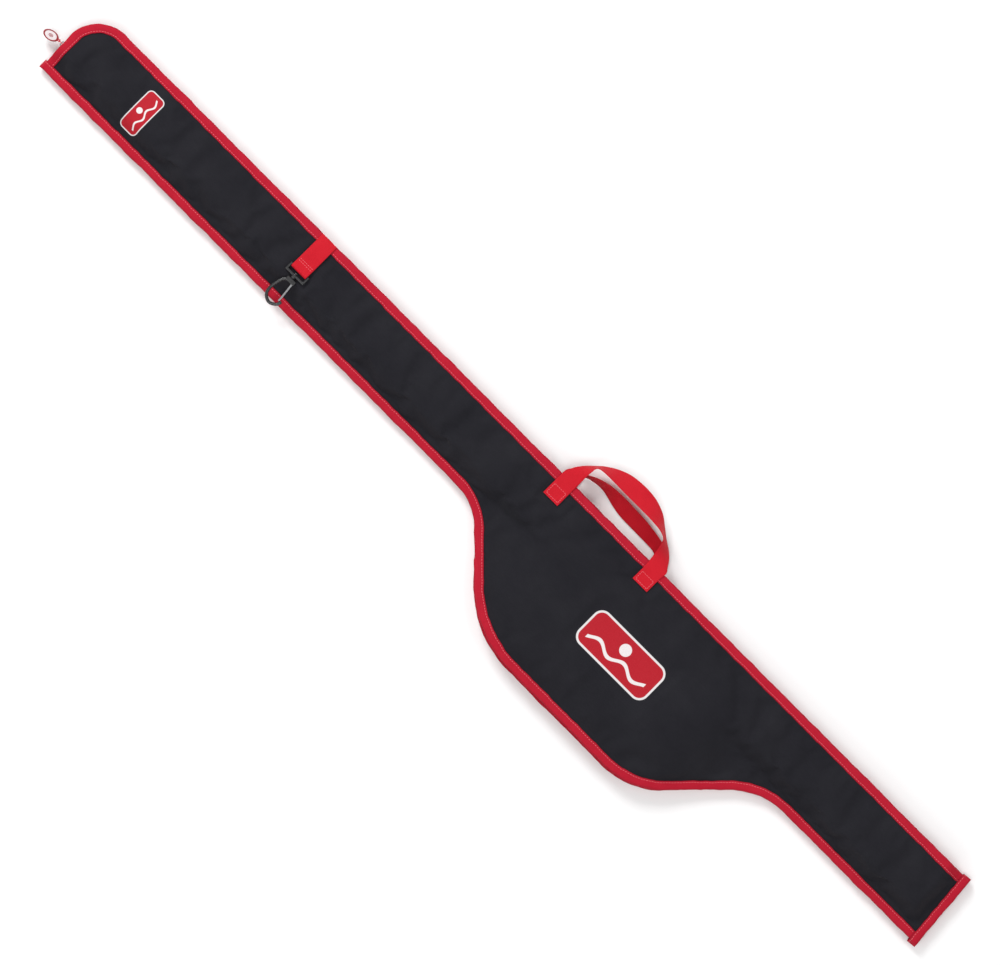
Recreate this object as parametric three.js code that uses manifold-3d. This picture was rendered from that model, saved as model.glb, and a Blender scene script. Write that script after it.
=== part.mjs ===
// Padded rod case with a reel pouch, lying closed on its back panel.
// Millimetres. +X runs from the tip end to the butt end, +Y towards the zip side and the two carry
// handles, -Y into the pouch, +Z up out of the front panel.
import * as THREE from 'three';
import { mergeVertices } from 'three/addons/utils/BufferGeometryUtils.js';
import Module from 'manifold-3d';

const wasm = await Module();
wasm.setup();

// ---- driving dimensions -------------------------------------------------------------------------
const CASE_WIDTH = 104; // slender part, lower seam at y = 0 to zip side
const BUTT_X = 1554; // butt end at y = 0
const BUTT_SLANT = 9; // how far the butt end leans back over the case width
const TIP_RADIUS = 47.5; // rounded corner at the tip end, zip side
const BELLY_OUTLINE = [ // pouch outline: corner x, y and its rounding radius
  [770, 0, 80],
  [886, -116, 155],
  [1162, -117, 113],
  [1279, 0, 97],
];
const GAP = 0.3; // clearance between neighbouring pieces
const TAPE = 0.8; // binding tape thickness
const TAPE_WIDTH = 12; // visible width of the folded binding tape
const FABRIC = 0.8;
const FOAM = 3.6;
const LINING = 0.4;
const EDGE_INSET = 2.2; // panel layers stop this far inside the outline
const CLEARANCE_Z = 13.8; // height of the zip wall above the pinched seam
const DOME_RISE = 12; // extra rise of the reel pouch
const FOLD_Y = 36; // the opening cover folds along this line
const FLAP_END_X = 1285; // beyond this the cover stays held by the butt seam
const PINCH = [[14, 0], [19.5, 0.156], [25, 0.5], [30.5, 0.844], [36, 1]]; // seam-to-plate rise
const EDGE_BAND = 14; // flat band beside every sewn edge
const RAMP_TIP = [795, 905]; // pouch opens over these x
const RAMP_BUTT = [1140, 1250]; // and closes over these
const SPLIT_TIP = 820; // the two seam tapes part here
const SPLIT_BUTT = 1225;
const ZIP_INSET = 3; // zip centre line inside the outline
const ZIP_TAPE = 0.8;
const COIL_WIDTH = 2.4;
const COIL_HEIGHT = 1.25;
const COIL_SPACE = 1.4; // between the two coil rows
const SLIDER_Y = 40.5; // closed position on the straight tip edge
const WEBBING = 25; // webbing width
const WEB_THICK = 1.2;
const HANDLE_X = [834, 989]; // centres of the handle's sewn ends
const TAB_START_Y = 71;
const HOOK_X = 411; // hook strap centre
const EYE_BAR = [50.3, 29.5]; // y, z of the bar the strap loops round

// ---- derived levels -----------------------------------------------------------------------------
const STACK = FABRIC + FOAM + LINING + 2 * GAP; // one padded panel
const BACK_BOTTOM = TAPE + GAP;
const BACK_TOP = BACK_BOTTOM + STACK;
const BACK_TAPE_TOP = BACK_TOP + GAP + TAPE;
const SEAM_H = BACK_TOP + GAP; // underside of the front panel where it is pinched to the back
const PLATE_H = SEAM_H + CLEARANCE_Z; // underside of the flat cover
const FACE_Z = PLATE_H + STACK; // outer face of the flat cover
const TAPE_FACE_Z = FACE_Z + GAP + TAPE;
const OVER = GAP + TAPE; // tape reach above or below a panel
const ZIP_MID = (BACK_TAPE_TOP + PLATE_H - OVER) / 2;

// ---- colours ------------------------------------------------------------------------------------
const material = (color, roughness, metalness = 0) =>
  new THREE.MeshStandardMaterial({ color, roughness, metalness });
const black = material(0x232328, 0.9);
const lining = material(0x2b2b30, 0.8);
const foam = material(0x8f8f92, 1.0);
const red = material(0xd01f36, 0.75);
const zipBlack = material(0x18181b, 0.6);
const metal = material(0x8d8f93, 0.35, 0.9);
const plastic = material(0x1b1c1f, 0.35);
const badge = material(0xe8e4e2, 0.45);

const group = new THREE.Group();
const add = (name, geometry, look) => {
  const mesh = new THREE.Mesh(geometry, look);
  mesh.name = name;
  group.add(mesh);
};

// ---- plan outline -------------------------------------------------------------------------------
const buttX = (y) => BUTT_X - (BUTT_SLANT * y) / CASE_WIDTH;

// A run of corners [x, y, radius] as stations with outward normals; the solid lies on the left.
function stations(corners, closed = false, segments = 6) {
  const found = [];
  const count = corners.length;
  const at = (k) => new THREE.Vector2(...corners[(k + count) % count]);
  for (let k = 0; k < count; k += 1) {
    const here = at(k);
    const last = !closed && k === count - 1;
    const first = !closed && k === 0;
    const into = (first ? at(k + 1).sub(here) : here.clone().sub(at(k - 1))).normalize();
    const out = (last ? into.clone() : at(k + 1).sub(here).normalize());
    const radius = corners[k][2] || 0;
    const turn = Math.atan2(into.x * out.y - into.y * out.x, into.dot(out));
    if (first || last || radius === 0 || Math.abs(turn) < 1e-6) {
      const along = into.clone().add(out).normalize();
      found.push({ p: here, n: new THREE.Vector2(along.y, -along.x) });
      continue;
    }
    const reach = radius * Math.tan(Math.abs(turn) / 2);
    const start = here.clone().addScaledVector(into, -reach);
    const side = Math.sign(turn);
    const centre = start.clone().add(new THREE.Vector2(-into.y, into.x).multiplyScalar(side * radius));
    for (let s = 0; s <= segments; s += 1) {
      const arm = start.clone().sub(centre).rotateAround(new THREE.Vector2(), (turn * s) / segments);
      found.push({ p: centre.clone().add(arm), n: arm.normalize().multiplyScalar(side) });
    }
  }
  return found;
}

// The same corners, every side moved inwards.
function insetCorners(corners, inset) {
  const count = corners.length;
  return corners.map(([x, y, radius], k) => {
    const here = new THREE.Vector2(x, y);
    const into = here.clone().sub(new THREE.Vector2(...corners[(k + count - 1) % count])).normalize();
    const out = new THREE.Vector2(...corners[(k + 1) % count]).sub(here).normalize();
    const left = new THREE.Vector2(-into.y - out.y, into.x + out.x).normalize();
    const turn = Math.atan2(into.x * out.y - into.y * out.x, into.dot(out));
    here.addScaledVector(left, inset / Math.cos(turn / 2));
    const rounded = radius ? Math.max(radius - Math.sign(turn) * inset, 0.5) : 0;
    return [here.x, here.y, rounded];
  });
}

const OUTLINE = [
  [0, 0, 0],
  ...BELLY_OUTLINE,
  [BUTT_X, 0, 0],
  [buttX(CASE_WIDTH), CASE_WIDTH, 0],
  [0, CASE_WIDTH, TIP_RADIUS],
];
const insetOutline = stations(insetCorners(OUTLINE, EDGE_INSET), true).map((s) => s.p);

// Lower edge of the panel layers at a given x, read off the inset outline.
const lowerChain = insetOutline.filter((p) => p.y < EDGE_INSET + 1);
function lowerY(x) {
  const after = lowerChain.findIndex((p) => p.x >= x);
  if (after <= 0) {
    return lowerChain[after === 0 ? 0 : lowerChain.length - 1].y;
  }
  const a = lowerChain[after - 1];
  const b = lowerChain[after];
  return a.y + ((b.y - a.y) * (x - a.x)) / (b.x - a.x);
}

// ---- the front panel's height -------------------------------------------------------------------
const clamp01 = (v) => Math.min(Math.max(v, 0), 1);
function pinch(distance) {
  if (distance <= PINCH[0][0]) {
    return 0;
  }
  const after = PINCH.findIndex(([at]) => at >= distance);
  if (after < 0) {
    return 1;
  }
  const [a, va] = PINCH[after - 1];
  const [b, vb] = PINCH[after];
  return va + ((vb - va) * (distance - a)) / (b - a);
}
function pouch(x) {
  const opening = clamp01((x - RAMP_TIP[0]) / (RAMP_TIP[1] - RAMP_TIP[0]));
  const closing = clamp01((RAMP_BUTT[1] - x) / (RAMP_BUTT[1] - RAMP_BUTT[0]));
  return Math.min(opening, closing);
}
// Underside of the front panel above the ground plane.
function undersideAt(x, y) {
  const open = pouch(x);
  const seam = pinch(y);
  const lifted = (seam + (1 - seam) * open) * pinch(buttX(y) - x);
  const start = lowerY(x) + EDGE_BAND;
  const across = clamp01((FOLD_Y - y) / (FOLD_Y - start));
  return SEAM_H + CLEARANCE_Z * lifted + DOME_RISE * open * Math.sin(Math.PI * across);
}

// ---- solid builders -----------------------------------------------------------------------------
function solidOf(positions, index) {
  const geometry = new THREE.BufferGeometry();
  geometry.setAttribute('position', new THREE.Float32BufferAttribute(positions, 3));
  const a = new THREE.Vector3();
  const b = new THREE.Vector3();
  const c = new THREE.Vector3();
  let volume = 0;
  for (let k = 0; k < index.length; k += 3) {
    a.fromArray(positions, 3 * index[k]);
    b.fromArray(positions, 3 * index[k + 1]);
    c.fromArray(positions, 3 * index[k + 2]);
    volume += a.dot(b.cross(c));
  }
  geometry.setIndex(volume < 0 ? index.slice().reverse() : index);
  return geometry;
}

// Sweeps a closed section, given as [distance inside the outline, z] points, along stations.
function sweep(path, sectionAt) {
  const positions = [];
  const index = [];
  let ring = 0;
  path.forEach(({ p, n }, k) => {
    const section = sectionAt(p, n, k);
    ring = section.length;
    section.forEach(([u, z]) => positions.push(p.x - n.x * u, p.y - n.y * u, z));
  });
  for (let k = 0; k + 1 < path.length; k += 1) {
    for (let j = 0; j < ring; j += 1) {
      const a = k * ring + j;
      const b = k * ring + ((j + 1) % ring);
      index.push(a, b, a + ring, b, b + ring, a + ring);
    }
  }
  const end = (path.length - 1) * ring;
  const flat = sectionAt(path[0].p, path[0].n, 0).map((q) => new THREE.Vector2(...q));
  const clockwise = THREE.ShapeUtils.isClockWise(flat);
  const order = clockwise ? flat.slice().reverse() : flat;
  const turned = (j) => (clockwise ? ring - 1 - j : j);
  THREE.ShapeUtils.triangulateShape(order, []).forEach(([i, j, k]) => {
    const [a, b, c] = clockwise
      ? [turned(i), turned(j), turned(k)]
      : [turned(i), turned(k), turned(j)];
    index.push(a, b, c);
    index.push(end + a, end + c, end + b);
  });
  return solidOf(positions, index);
}

// Folded tape round an edge: open towards the inside of the panel.
function foldedTape(bottomAt, topAt) {
  return (p, n) => {
    const z = (fn, u) => fn(p.x - n.x * u, p.y - n.y * u);
    return [
      [0, z(bottomAt, 0)],
      [0, z(topAt, 0)],
      [TAPE_WIDTH, z(topAt, TAPE_WIDTH)],
      [TAPE_WIDTH, z(topAt, TAPE_WIDTH) - TAPE],
      [TAPE, z(topAt, TAPE) - TAPE],
      [TAPE, z(bottomAt, TAPE) + TAPE],
      [TAPE_WIDTH, z(bottomAt, TAPE_WIDTH) + TAPE],
      [TAPE_WIDTH, z(bottomAt, TAPE_WIDTH)],
    ];
  };
}

// Upright strip of constant thickness whose foot and head follow two heights.
function strip(inset, thickness, footAt, headAt) {
  return (p, n) => {
    const foot = footAt(p.x - n.x * inset, p.y - n.y * inset);
    const head = headAt(p.x - n.x * inset, p.y - n.y * inset);
    const half = thickness / 2;
    return [[inset - half, foot], [inset - half, head], [inset + half, head], [inset + half, foot]];
  };
}

// The part of a path between two values of one coordinate, with stations added at the given stops.
function stretch(path, key, from, to, stops = []) {
  const low = Math.min(from, to);
  const high = Math.max(from, to);
  const marks = [from, to, ...stops];
  const found = [];
  for (let k = 0; k + 1 < path.length; k += 1) {
    const a = path[k];
    const b = path[k + 1];
    const cuts = [0, 1];
    marks.forEach((mark) => {
      const t = (mark - a.p[key]) / (b.p[key] - a.p[key]);
      if (t > 1e-6 && t < 1 - 1e-6) {
        cuts.push(t);
      }
    });
    cuts.sort((s, t) => s - t);
    cuts.forEach((t) => {
      const p = a.p.clone().lerp(b.p, t);
      const inside = p[key] > low - 1e-6 && p[key] < high + 1e-6;
      const again = found.length && found[found.length - 1].p.distanceTo(p) < 1e-6;
      if (inside && !again) {
        found.push({ p, n: a.n.clone().lerp(b.n, t).normalize() });
      }
    });
  }
  return found;
}

// A panel layer over a grid of columns and rows, solid wherever a cell is kept.
function gridLayer(columns, rows, pointAt, offset, thickness, kept) {
  const positions = [];
  const index = [];
  const id = (i, j, top) => 2 * (i * rows + j) + top;
  for (let i = 0; i < columns; i += 1) {
    for (let j = 0; j < rows; j += 1) {
      const [x, y] = pointAt(i, j);
      const z = undersideAt(x, y) + offset;
      positions.push(x, y, z, x, y, z + thickness);
    }
  }
  const wall = (a, b, c, d) => index.push(a, b, c, a, c, d);
  for (let i = 0; i + 1 < columns; i += 1) {
    for (let j = 0; j + 1 < rows; j += 1) {
      if (!kept(i, j)) {
        continue;
      }
      const q = [[i, j], [i + 1, j], [i + 1, j + 1], [i, j + 1]];
      const top = q.map(([a, b]) => id(a, b, 1));
      const low = q.map(([a, b]) => id(a, b, 0));
      wall(top[0], top[1], top[2], top[3]);
      wall(low[0], low[3], low[2], low[1]);
      const sides = [[0, 1, i, j - 1], [1, 2, i + 1, j], [2, 3, i, j + 1], [3, 0, i - 1, j]];
      sides.forEach(([a, b, ni, nj]) => {
        const beside = ni >= 0 && nj >= 0 && ni + 1 < columns && nj + 1 < rows && kept(ni, nj);
        if (!beside) {
          wall(low[a], low[b], top[b], top[a]);
        }
      });
    }
  }
  const geometry = new THREE.BufferGeometry();
  geometry.setAttribute('position', new THREE.Float32BufferAttribute(positions, 3));
  geometry.setIndex(index);
  // unused grid points go when the triangles are taken apart and put together again
  return mergeVertices(geometry.toNonIndexed());
}

function plate(points, bottom, thickness) {
  const shape = new THREE.Shape(points.map((p) => new THREE.Vector2(p.x, p.y)));
  const geometry = new THREE.ExtrudeGeometry(shape, { depth: thickness, bevelEnabled: false });
  return geometry.translate(0, 0, bottom);
}

function block(x, y, z) {
  const geometry = new THREE.BoxGeometry(x[1] - x[0], y[1] - y[0], z[1] - z[0]);
  return geometry.translate((x[0] + x[1]) / 2, (y[0] + y[1]) / 2, (z[0] + z[1]) / 2);
}

function rodAlongX(radius, x, y, z, sides = 12) {
  return new THREE.CylinderGeometry(radius, radius, x[1] - x[0], sides)
    .rotateZ(Math.PI / 2)
    .translate((x[0] + x[1]) / 2, y, z);
}

function rodAlongY(radius, x, y, z, sides = 12) {
  return new THREE.CylinderGeometry(radius, radius, y[1] - y[0], sides)
    .translate(x, (y[0] + y[1]) / 2, z);
}

function toManifold(geometry) {
  const bare = geometry.clone();
  bare.deleteAttribute('normal');
  bare.deleteAttribute('uv');
  const merged = mergeVertices(bare);
  const mesh = new wasm.Mesh({
    numProp: 3,
    vertProperties: new Float32Array(merged.attributes.position.array),
    triVerts: new Uint32Array(merged.index.array),
  });
  return new wasm.Manifold(mesh);
}

function fromManifold(solid) {
  const mesh = solid.getMesh();
  const geometry = new THREE.BufferGeometry();
  geometry.setAttribute('position', new THREE.BufferAttribute(mesh.vertProperties, 3));
  geometry.setIndex(new THREE.BufferAttribute(mesh.triVerts, 1));
  return geometry;
}

function joined(pieces, cuts = []) {
  let solid = toManifold(pieces[0]);
  pieces.slice(1).forEach((piece) => {
    solid = solid.add(toManifold(piece));
  });
  cuts.forEach((cut) => {
    solid = solid.subtract(toManifold(cut));
  });
  return fromManifold(solid);
}

// ---- back panel ---------------------------------------------------------------------------------
add('back_fabric', plate(insetOutline, BACK_BOTTOM, FABRIC), black);
add('back_foam', plate(insetOutline, BACK_BOTTOM + FABRIC + GAP, FOAM), foam);
add('back_lining', plate(insetOutline, BACK_TOP - LINING, LINING), lining);

// ---- front panel: the part that stays sewn, with the domed pouch ---------------------------------
const COLUMNS = [
  EDGE_INSET, 350, 700, 737, 757, 776, 795, 808, 828, 848, 868, 888, RAMP_TIP[1], RAMP_TIP[1] + GAP,
  930, 960, 1022, 1085, 1115, RAMP_BUTT[0], RAMP_BUTT[0] + GAP, 1162, 1185, 1208, 1228, 1250, 1268,
  FLAP_END_X + GAP, 1297, 1309, 1320,
];
const BUTT_COLUMNS = [FOLD_Y + GAP, ...PINCH.map(([at]) => at).reverse(), EDGE_INSET]; // from the end
const POUCH_ROWS = 4;
const UPPER_ROWS = [FOLD_Y + GAP, 70, CASE_WIDTH - EDGE_INSET];
const RISE_ROWS = PINCH.map(([at]) => at);
const ROW_COUNT = 2 + POUCH_ROWS + RISE_ROWS.length - 1 + UPPER_ROWS.length;
const FOLD_ROW = ROW_COUNT - 1 - UPPER_ROWS.length;

function rowY(x, j) {
  const low = lowerY(x);
  const band = Math.min(low + EDGE_BAND, RISE_ROWS[0] - 1);
  if (j === 0) {
    return low;
  }
  if (j <= POUCH_ROWS + 1) {
    return band + ((RISE_ROWS[0] - band) * (j - 1)) / POUCH_ROWS;
  }
  const rise = j - POUCH_ROWS - 1;
  if (rise < RISE_ROWS.length) {
    return rise === RISE_ROWS.length - 1 ? FOLD_Y - GAP : RISE_ROWS[rise];
  }
  return UPPER_ROWS[rise - RISE_ROWS.length];
}
function frontPoint(i, j) {
  if (i < COLUMNS.length) {
    return [COLUMNS[i], rowY(COLUMNS[i], j)];
  }
  const inward = BUTT_COLUMNS[i - COLUMNS.length];
  const y = rowY(BUTT_X - inward, j);
  return [buttX(y) - inward, y];
}
const FRONT_COLUMNS = COLUMNS.length + BUTT_COLUMNS.length;
const flapEnd = COLUMNS.indexOf(FLAP_END_X + GAP);
const sewn = (i, j) => j < FOLD_ROW || i >= flapEnd;
const frontLayer = (offset, thickness, kept) =>
  gridLayer(FRONT_COLUMNS, ROW_COUNT, frontPoint, offset, thickness, kept);
add('front_fabric', frontLayer(STACK - FABRIC, FABRIC, sewn), black);
add('front_lining', frontLayer(0, LINING, sewn), lining);

// the foam is cut into pads: three along the lower seam, two in the butt end above the fold line
const pouchFrom = COLUMNS.indexOf(RAMP_TIP[1] + GAP);
const pouchTo = COLUMNS.indexOf(RAMP_BUTT[0]);
const slopeFrom = COLUMNS.length; // the panel comes down to the butt seam beyond this column
const below = (j) => j < FOLD_ROW;
const above = (j) => j > FOLD_ROW;
const FOAM_PADS = {
  front_foam_tip: (i, j) => below(j) && i < pouchFrom - 1,
  front_foam_pouch: (i, j) => below(j) && i >= pouchFrom && i < pouchTo,
  front_foam_neck: (i, j) => below(j) && i > pouchTo,
  front_foam_butt: (i, j) => above(j) && i >= flapEnd && i < slopeFrom,
  front_foam_end: (i, j) => above(j) && i > slopeFrom,
};
Object.entries(FOAM_PADS).forEach(([name, kept]) => {
  add(name, frontLayer(LINING + GAP, FOAM, kept), foam);
});

// ---- front panel: the cover that opens ----------------------------------------------------------
const coverTop = CASE_WIDTH - EDGE_INSET;
const coverOutline = stations([
  [EDGE_INSET, FOLD_Y + GAP, 0],
  [FLAP_END_X - GAP, FOLD_Y + GAP, 0],
  [FLAP_END_X - GAP, coverTop, 0],
  [EDGE_INSET, coverTop, TIP_RADIUS - EDGE_INSET],
], true).map((s) => s.p);
add('cover_fabric', plate(coverOutline, FACE_Z - FABRIC, FABRIC), black);
add('cover_foam', plate(coverOutline, PLATE_H + LINING + GAP, FOAM), foam);
add('cover_lining', plate(coverOutline, PLATE_H, LINING), lining);

// ---- edge tapes ---------------------------------------------------------------------------------
const zipSide = stations([
  [buttX(CASE_WIDTH), CASE_WIDTH, 0],
  [0, CASE_WIDTH, TIP_RADIUS],
  [0, 0, 0],
]);
const lowerSide = stations([[-2.5, 0, 0], ...BELLY_OUTLINE, [BUTT_X, 0, 0]]);
const buttSide = [-3, CASE_WIDTH + 3].map((y) => ({
  p: new THREE.Vector2(buttX(y), y),
  n: new THREE.Vector2(CASE_WIDTH, BUTT_SLANT).normalize(),
}));
const ground = () => 0;
const backTapeTop = () => BACK_TAPE_TOP;
const seamTapeTop = (x, y) => undersideAt(x, y) + STACK + OVER;
const frontTapeBottom = (x, y) => undersideAt(x, y) - OVER;
const END_CLEAR = 17.5; // the back tape stops here, where the front panel comes down on it
const SEAM_END_CLEAR = 14; // the seam tape stops here, short of the end tape
const TAPER_END = 22; // front tape stops here, where the panel is pinched down

// the zip side runs from the butt end along the top, round the tip corner and down the tip edge
const zipPath = (fromX, toY) => stretch(stretch(zipSide, 'x', fromX, 0), 'y', toY, CASE_WIDTH);
const backPath = zipPath(buttX(CASE_WIDTH) - END_CLEAR, END_CLEAR);
const tabSlots = HANDLE_X.map((x) =>
  block([x - WEBBING / 2 - GAP, x + WEBBING / 2 + GAP], [CASE_WIDTH - 14, CASE_WIDTH + 1], [-1, OVER]));
add('back_edge_binding', joined([sweep(backPath, foldedTape(ground, backTapeTop))], tabSlots), red);

const coverPath = zipPath(FLAP_END_X - GAP, FOLD_Y + GAP);
const plateTapeBottom = () => PLATE_H - OVER;
const plateTapeTop = () => TAPE_FACE_Z;
add('cover_edge_binding', sweep(coverPath, foldedTape(plateTapeBottom, plateTapeTop)), red);

const buttPinchStops = PINCH.map(([at]) => buttX(CASE_WIDTH) - at);
const alongButt = new THREE.Vector2(-BUTT_SLANT / CASE_WIDTH, 1); // sections run parallel to the end
const frontButtPath = stretch(
  zipSide, 'x', buttX(CASE_WIDTH) - TAPER_END, FLAP_END_X + GAP, buttPinchStops)
  .map(({ p }) => ({ p, n: alongButt }));
const frontTipPath = stretch(zipSide, 'y', FOLD_Y - GAP, TAPER_END, PINCH.map(([at]) => at));
add('front_edge_binding_butt', sweep(frontButtPath, foldedTape(frontTapeBottom, seamTapeTop)), red);
add('front_edge_binding_tip', sweep(frontTipPath, foldedTape(frontTapeBottom, seamTapeTop)), red);

const ramps = [...RAMP_TIP, ...RAMP_BUTT];
const seamTip = stretch(lowerSide, 'x', -2.5, SPLIT_TIP - GAP, ramps);
const seamButt = stretch(lowerSide, 'x', SPLIT_BUTT + GAP, BUTT_X - SEAM_END_CLEAR, ramps);
const pouchSide = stretch(lowerSide, 'x', SPLIT_TIP, SPLIT_BUTT, ramps);
const LOOSE = 0.5; // extra room round the curved pouch edge
add('seam_binding_tip', sweep(seamTip, foldedTape(ground, seamTapeTop)), red);
add('seam_binding_butt', sweep(seamButt, foldedTape(ground, seamTapeTop)), red);
add('pouch_back_binding', sweep(pouchSide, foldedTape(ground, backTapeTop)), red);
add('pouch_front_binding', sweep(pouchSide, foldedTape(
  (x, y) => frontTapeBottom(x, y) - LOOSE,
  (x, y) => seamTapeTop(x, y) + LOOSE,
)), red);
add('butt_end_binding', sweep(buttSide, foldedTape(ground, () => SEAM_H + STACK + OVER)), red);

// ---- pouch gusset -------------------------------------------------------------------------------
const GUSSET_INSET = 5;
const GUSSET_THICK = 1.2;
add('pouch_gusset', sweep(pouchSide, strip(
  GUSSET_INSET, GUSSET_THICK,
  () => BACK_TAPE_TOP + GAP,
  (x, y) => frontTapeBottom(x, y) - LOOSE - 2 * GAP,
)), black);

// ---- zip ----------------------------------------------------------------------------------------
const backCoil = [ZIP_MID - COIL_SPACE / 2 - COIL_HEIGHT, ZIP_MID - COIL_SPACE / 2];
const frontCoil = [ZIP_MID + COIL_SPACE / 2, ZIP_MID + COIL_SPACE / 2 + COIL_HEIGHT];
const level = (z) => () => z;
const zipButtEnd = buttX(CASE_WIDTH) - FOLD_Y;
const zipWhole = zipPath(zipButtEnd, FOLD_Y - 1);
const zipButt = stretch(zipSide, 'x', zipButtEnd, FLAP_END_X + GAP);
const tapeOf = (path, low, high) => sweep(path, strip(ZIP_INSET, ZIP_TAPE, level(low), level(high)));
const coilOf = (path, [low, high]) =>
  sweep(path, strip(ZIP_INSET, COIL_WIDTH, level(low), level(high)));
const backTape = [BACK_TAPE_TOP + GAP, backCoil[0] - GAP];
const frontTape = [frontCoil[1] + GAP, PLATE_H - OVER - GAP];
add('back_zip_tape', tapeOf(zipWhole, ...backTape), zipBlack);
add('back_zip_coil', coilOf(zipWhole, backCoil), zipBlack);
add('cover_zip_tape', tapeOf(coverPath, ...frontTape), zipBlack);
add('cover_zip_coil', coilOf(coverPath, frontCoil), zipBlack);
add('front_zip_tape_butt', tapeOf(zipButt, ...frontTape), zipBlack);
add('front_zip_coil_butt', coilOf(zipButt, frontCoil), zipBlack);

// slider: outer and inner plates joined by a post between the coil rows, with a bail outside
const SLIDER_HALF = 5.5;
const SLIDER_Z = 3.1;
const BAIL_Z = 0.75;
const around = (centre, half) => [centre - half, centre + half];
const bailOutline = new THREE.Shape();
bailOutline.moveTo(0.6, -3.6);
bailOutline.lineTo(-1.4, -3.6);
bailOutline.quadraticCurveTo(-3.4, -3.4, -3.4, 0);
bailOutline.quadraticCurveTo(-3.4, 3.4, -1.4, 3.6);
bailOutline.lineTo(0.6, 3.6);
bailOutline.lineTo(0.6, 2.5);
bailOutline.lineTo(-1.2, 2.5);
bailOutline.quadraticCurveTo(-2.3, 2.3, -2.3, 0);
bailOutline.quadraticCurveTo(-2.3, -2.3, -1.2, -2.5);
bailOutline.lineTo(0.6, -2.5);
const bail = new THREE.ExtrudeGeometry(
  bailOutline, { depth: 2 * BAIL_Z, bevelEnabled: false, curveSegments: 4 })
  .translate(0, SLIDER_Y, ZIP_MID - BAIL_Z);
add('zip_slider', joined([
  block([0.2, 1.4], around(SLIDER_Y, SLIDER_HALF), around(ZIP_MID, SLIDER_Z)),
  block([4.6, 5.6], around(SLIDER_Y, SLIDER_HALF), around(ZIP_MID, SLIDER_Z)),
  block([1, 5], [SLIDER_Y + 1.5, SLIDER_Y + 4.5], around(ZIP_MID, COIL_SPACE / 2 - GAP)),
  bail,
]), metal);

// link: an upright ring through the bail; tab: a flat oval with a hole round the link's far side
const LINK_PIN_X = -0.9;
const LINK_FAR_X = -7.4;
const LINK_WIRE = 0.5;
const linkOuter = block(
  [LINK_FAR_X - LINK_WIRE, LINK_PIN_X + LINK_WIRE], around(SLIDER_Y, LINK_WIRE), around(ZIP_MID, 2.7));
const linkHole = block(
  [LINK_FAR_X + LINK_WIRE, LINK_PIN_X - LINK_WIRE], around(SLIDER_Y, 1), around(ZIP_MID, 1.6));
add('pull_link', joined([linkOuter], [linkHole]), red);

const TAB_THICK = 2.4;
const TAB_LONG = 21; // oval length
const TAB_WIDE = 13;
const TAB_TILT = THREE.MathUtils.degToRad(12); // hangs a little askew
const ovalCentre = LINK_FAR_X - 1.2 - TAB_LONG / 2;
const oval = new THREE.CylinderGeometry(1, 1, TAB_THICK, 28)
  .rotateX(Math.PI / 2)
  .scale(TAB_LONG / 2, TAB_WIDE / 2, 1)
  .translate(ovalCentre - LINK_FAR_X, 0, 0);
const neck = block([-6, 0.8], [-1.9, 1.9], [-TAB_THICK / 2, TAB_THICK / 2]);
const eyelet = block([-LINK_WIRE - 0.4, LINK_WIRE + 0.4], [-0.9, 0.9], [-4, 4]);
const neckEnd = block([0.7, 1.8], [-1.9, 1.9], [-TAB_THICK / 2, TAB_THICK / 2]);
const tab = joined([oval, neck, neckEnd], [eyelet])
  .rotateZ(TAB_TILT)
  .translate(LINK_FAR_X, SLIDER_Y, ZIP_MID);
add('pull_tab', tab, badge);

const STOP_Y = SLIDER_Y - SLIDER_HALF - 0.6;
add('zip_end_stop', block([0.4, 1.5], [STOP_Y - 1.6, STOP_Y], around(ZIP_MID - 1.2, 1.6)), metal);

// ---- carry handles ------------------------------------------------------------------------------
const sides = (x) => [x - WEBBING / 2, x + WEBBING / 2];
const TAB_END_Y = CASE_WIDTH + 0.7;
const HANDLE_GAP = 1.2;
const LOOP_START_Y = TAB_END_Y + HANDLE_GAP;
const LOOP_THICK = 1.5;
const tabNames = ['tip', 'butt'];
HANDLE_X.forEach((x, k) => {
  const front = [TAPE_FACE_Z + GAP, TAPE_FACE_Z + GAP + WEB_THICK];
  add(`front_handle_tab_${tabNames[k]}`, block(sides(x), [TAB_START_Y, TAB_END_Y], front), red);
  add(`back_handle_tab_${tabNames[k]}`, block(sides(x), [TAB_START_Y, TAB_END_Y], [0, TAPE]), red);
});

// An arched band of webbing between the two sewn ends, seen flat.
function handleLoop(innerY, outerY, bend) {
  const [left, right] = HANDLE_X.map(sides);
  const shape = new THREE.Shape();
  shape.moveTo(left[0], LOOP_START_Y);
  shape.bezierCurveTo(left[0], LOOP_START_Y + bend / 2, left[0] + 4, outerY - 8, left[0] + bend, outerY);
  shape.lineTo(right[1] - bend, outerY);
  shape.bezierCurveTo(right[1] - 4, outerY - 8, right[1], LOOP_START_Y + bend / 2, right[1], LOOP_START_Y);
  shape.lineTo(right[0], LOOP_START_Y);
  shape.bezierCurveTo(right[0], innerY - 2, right[0] - 2, innerY, right[0] - 6, innerY);
  shape.lineTo(left[1] + 6, innerY);
  shape.bezierCurveTo(left[1] + 2, innerY, left[1], innerY - 2, left[1], LOOP_START_Y);
  return new THREE.ExtrudeGeometry(shape, { depth: LOOP_THICK, bevelEnabled: false, curveSegments: 6 });
}
const FRONT_LOOP = [141, 164, 44];
const BACK_LOOP = [116, 138, 26];
add('front_handle', handleLoop(...FRONT_LOOP).translate(0, 0, TAPE_FACE_Z + GAP), red);
add('back_handle', handleLoop(...BACK_LOOP), red);

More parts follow.
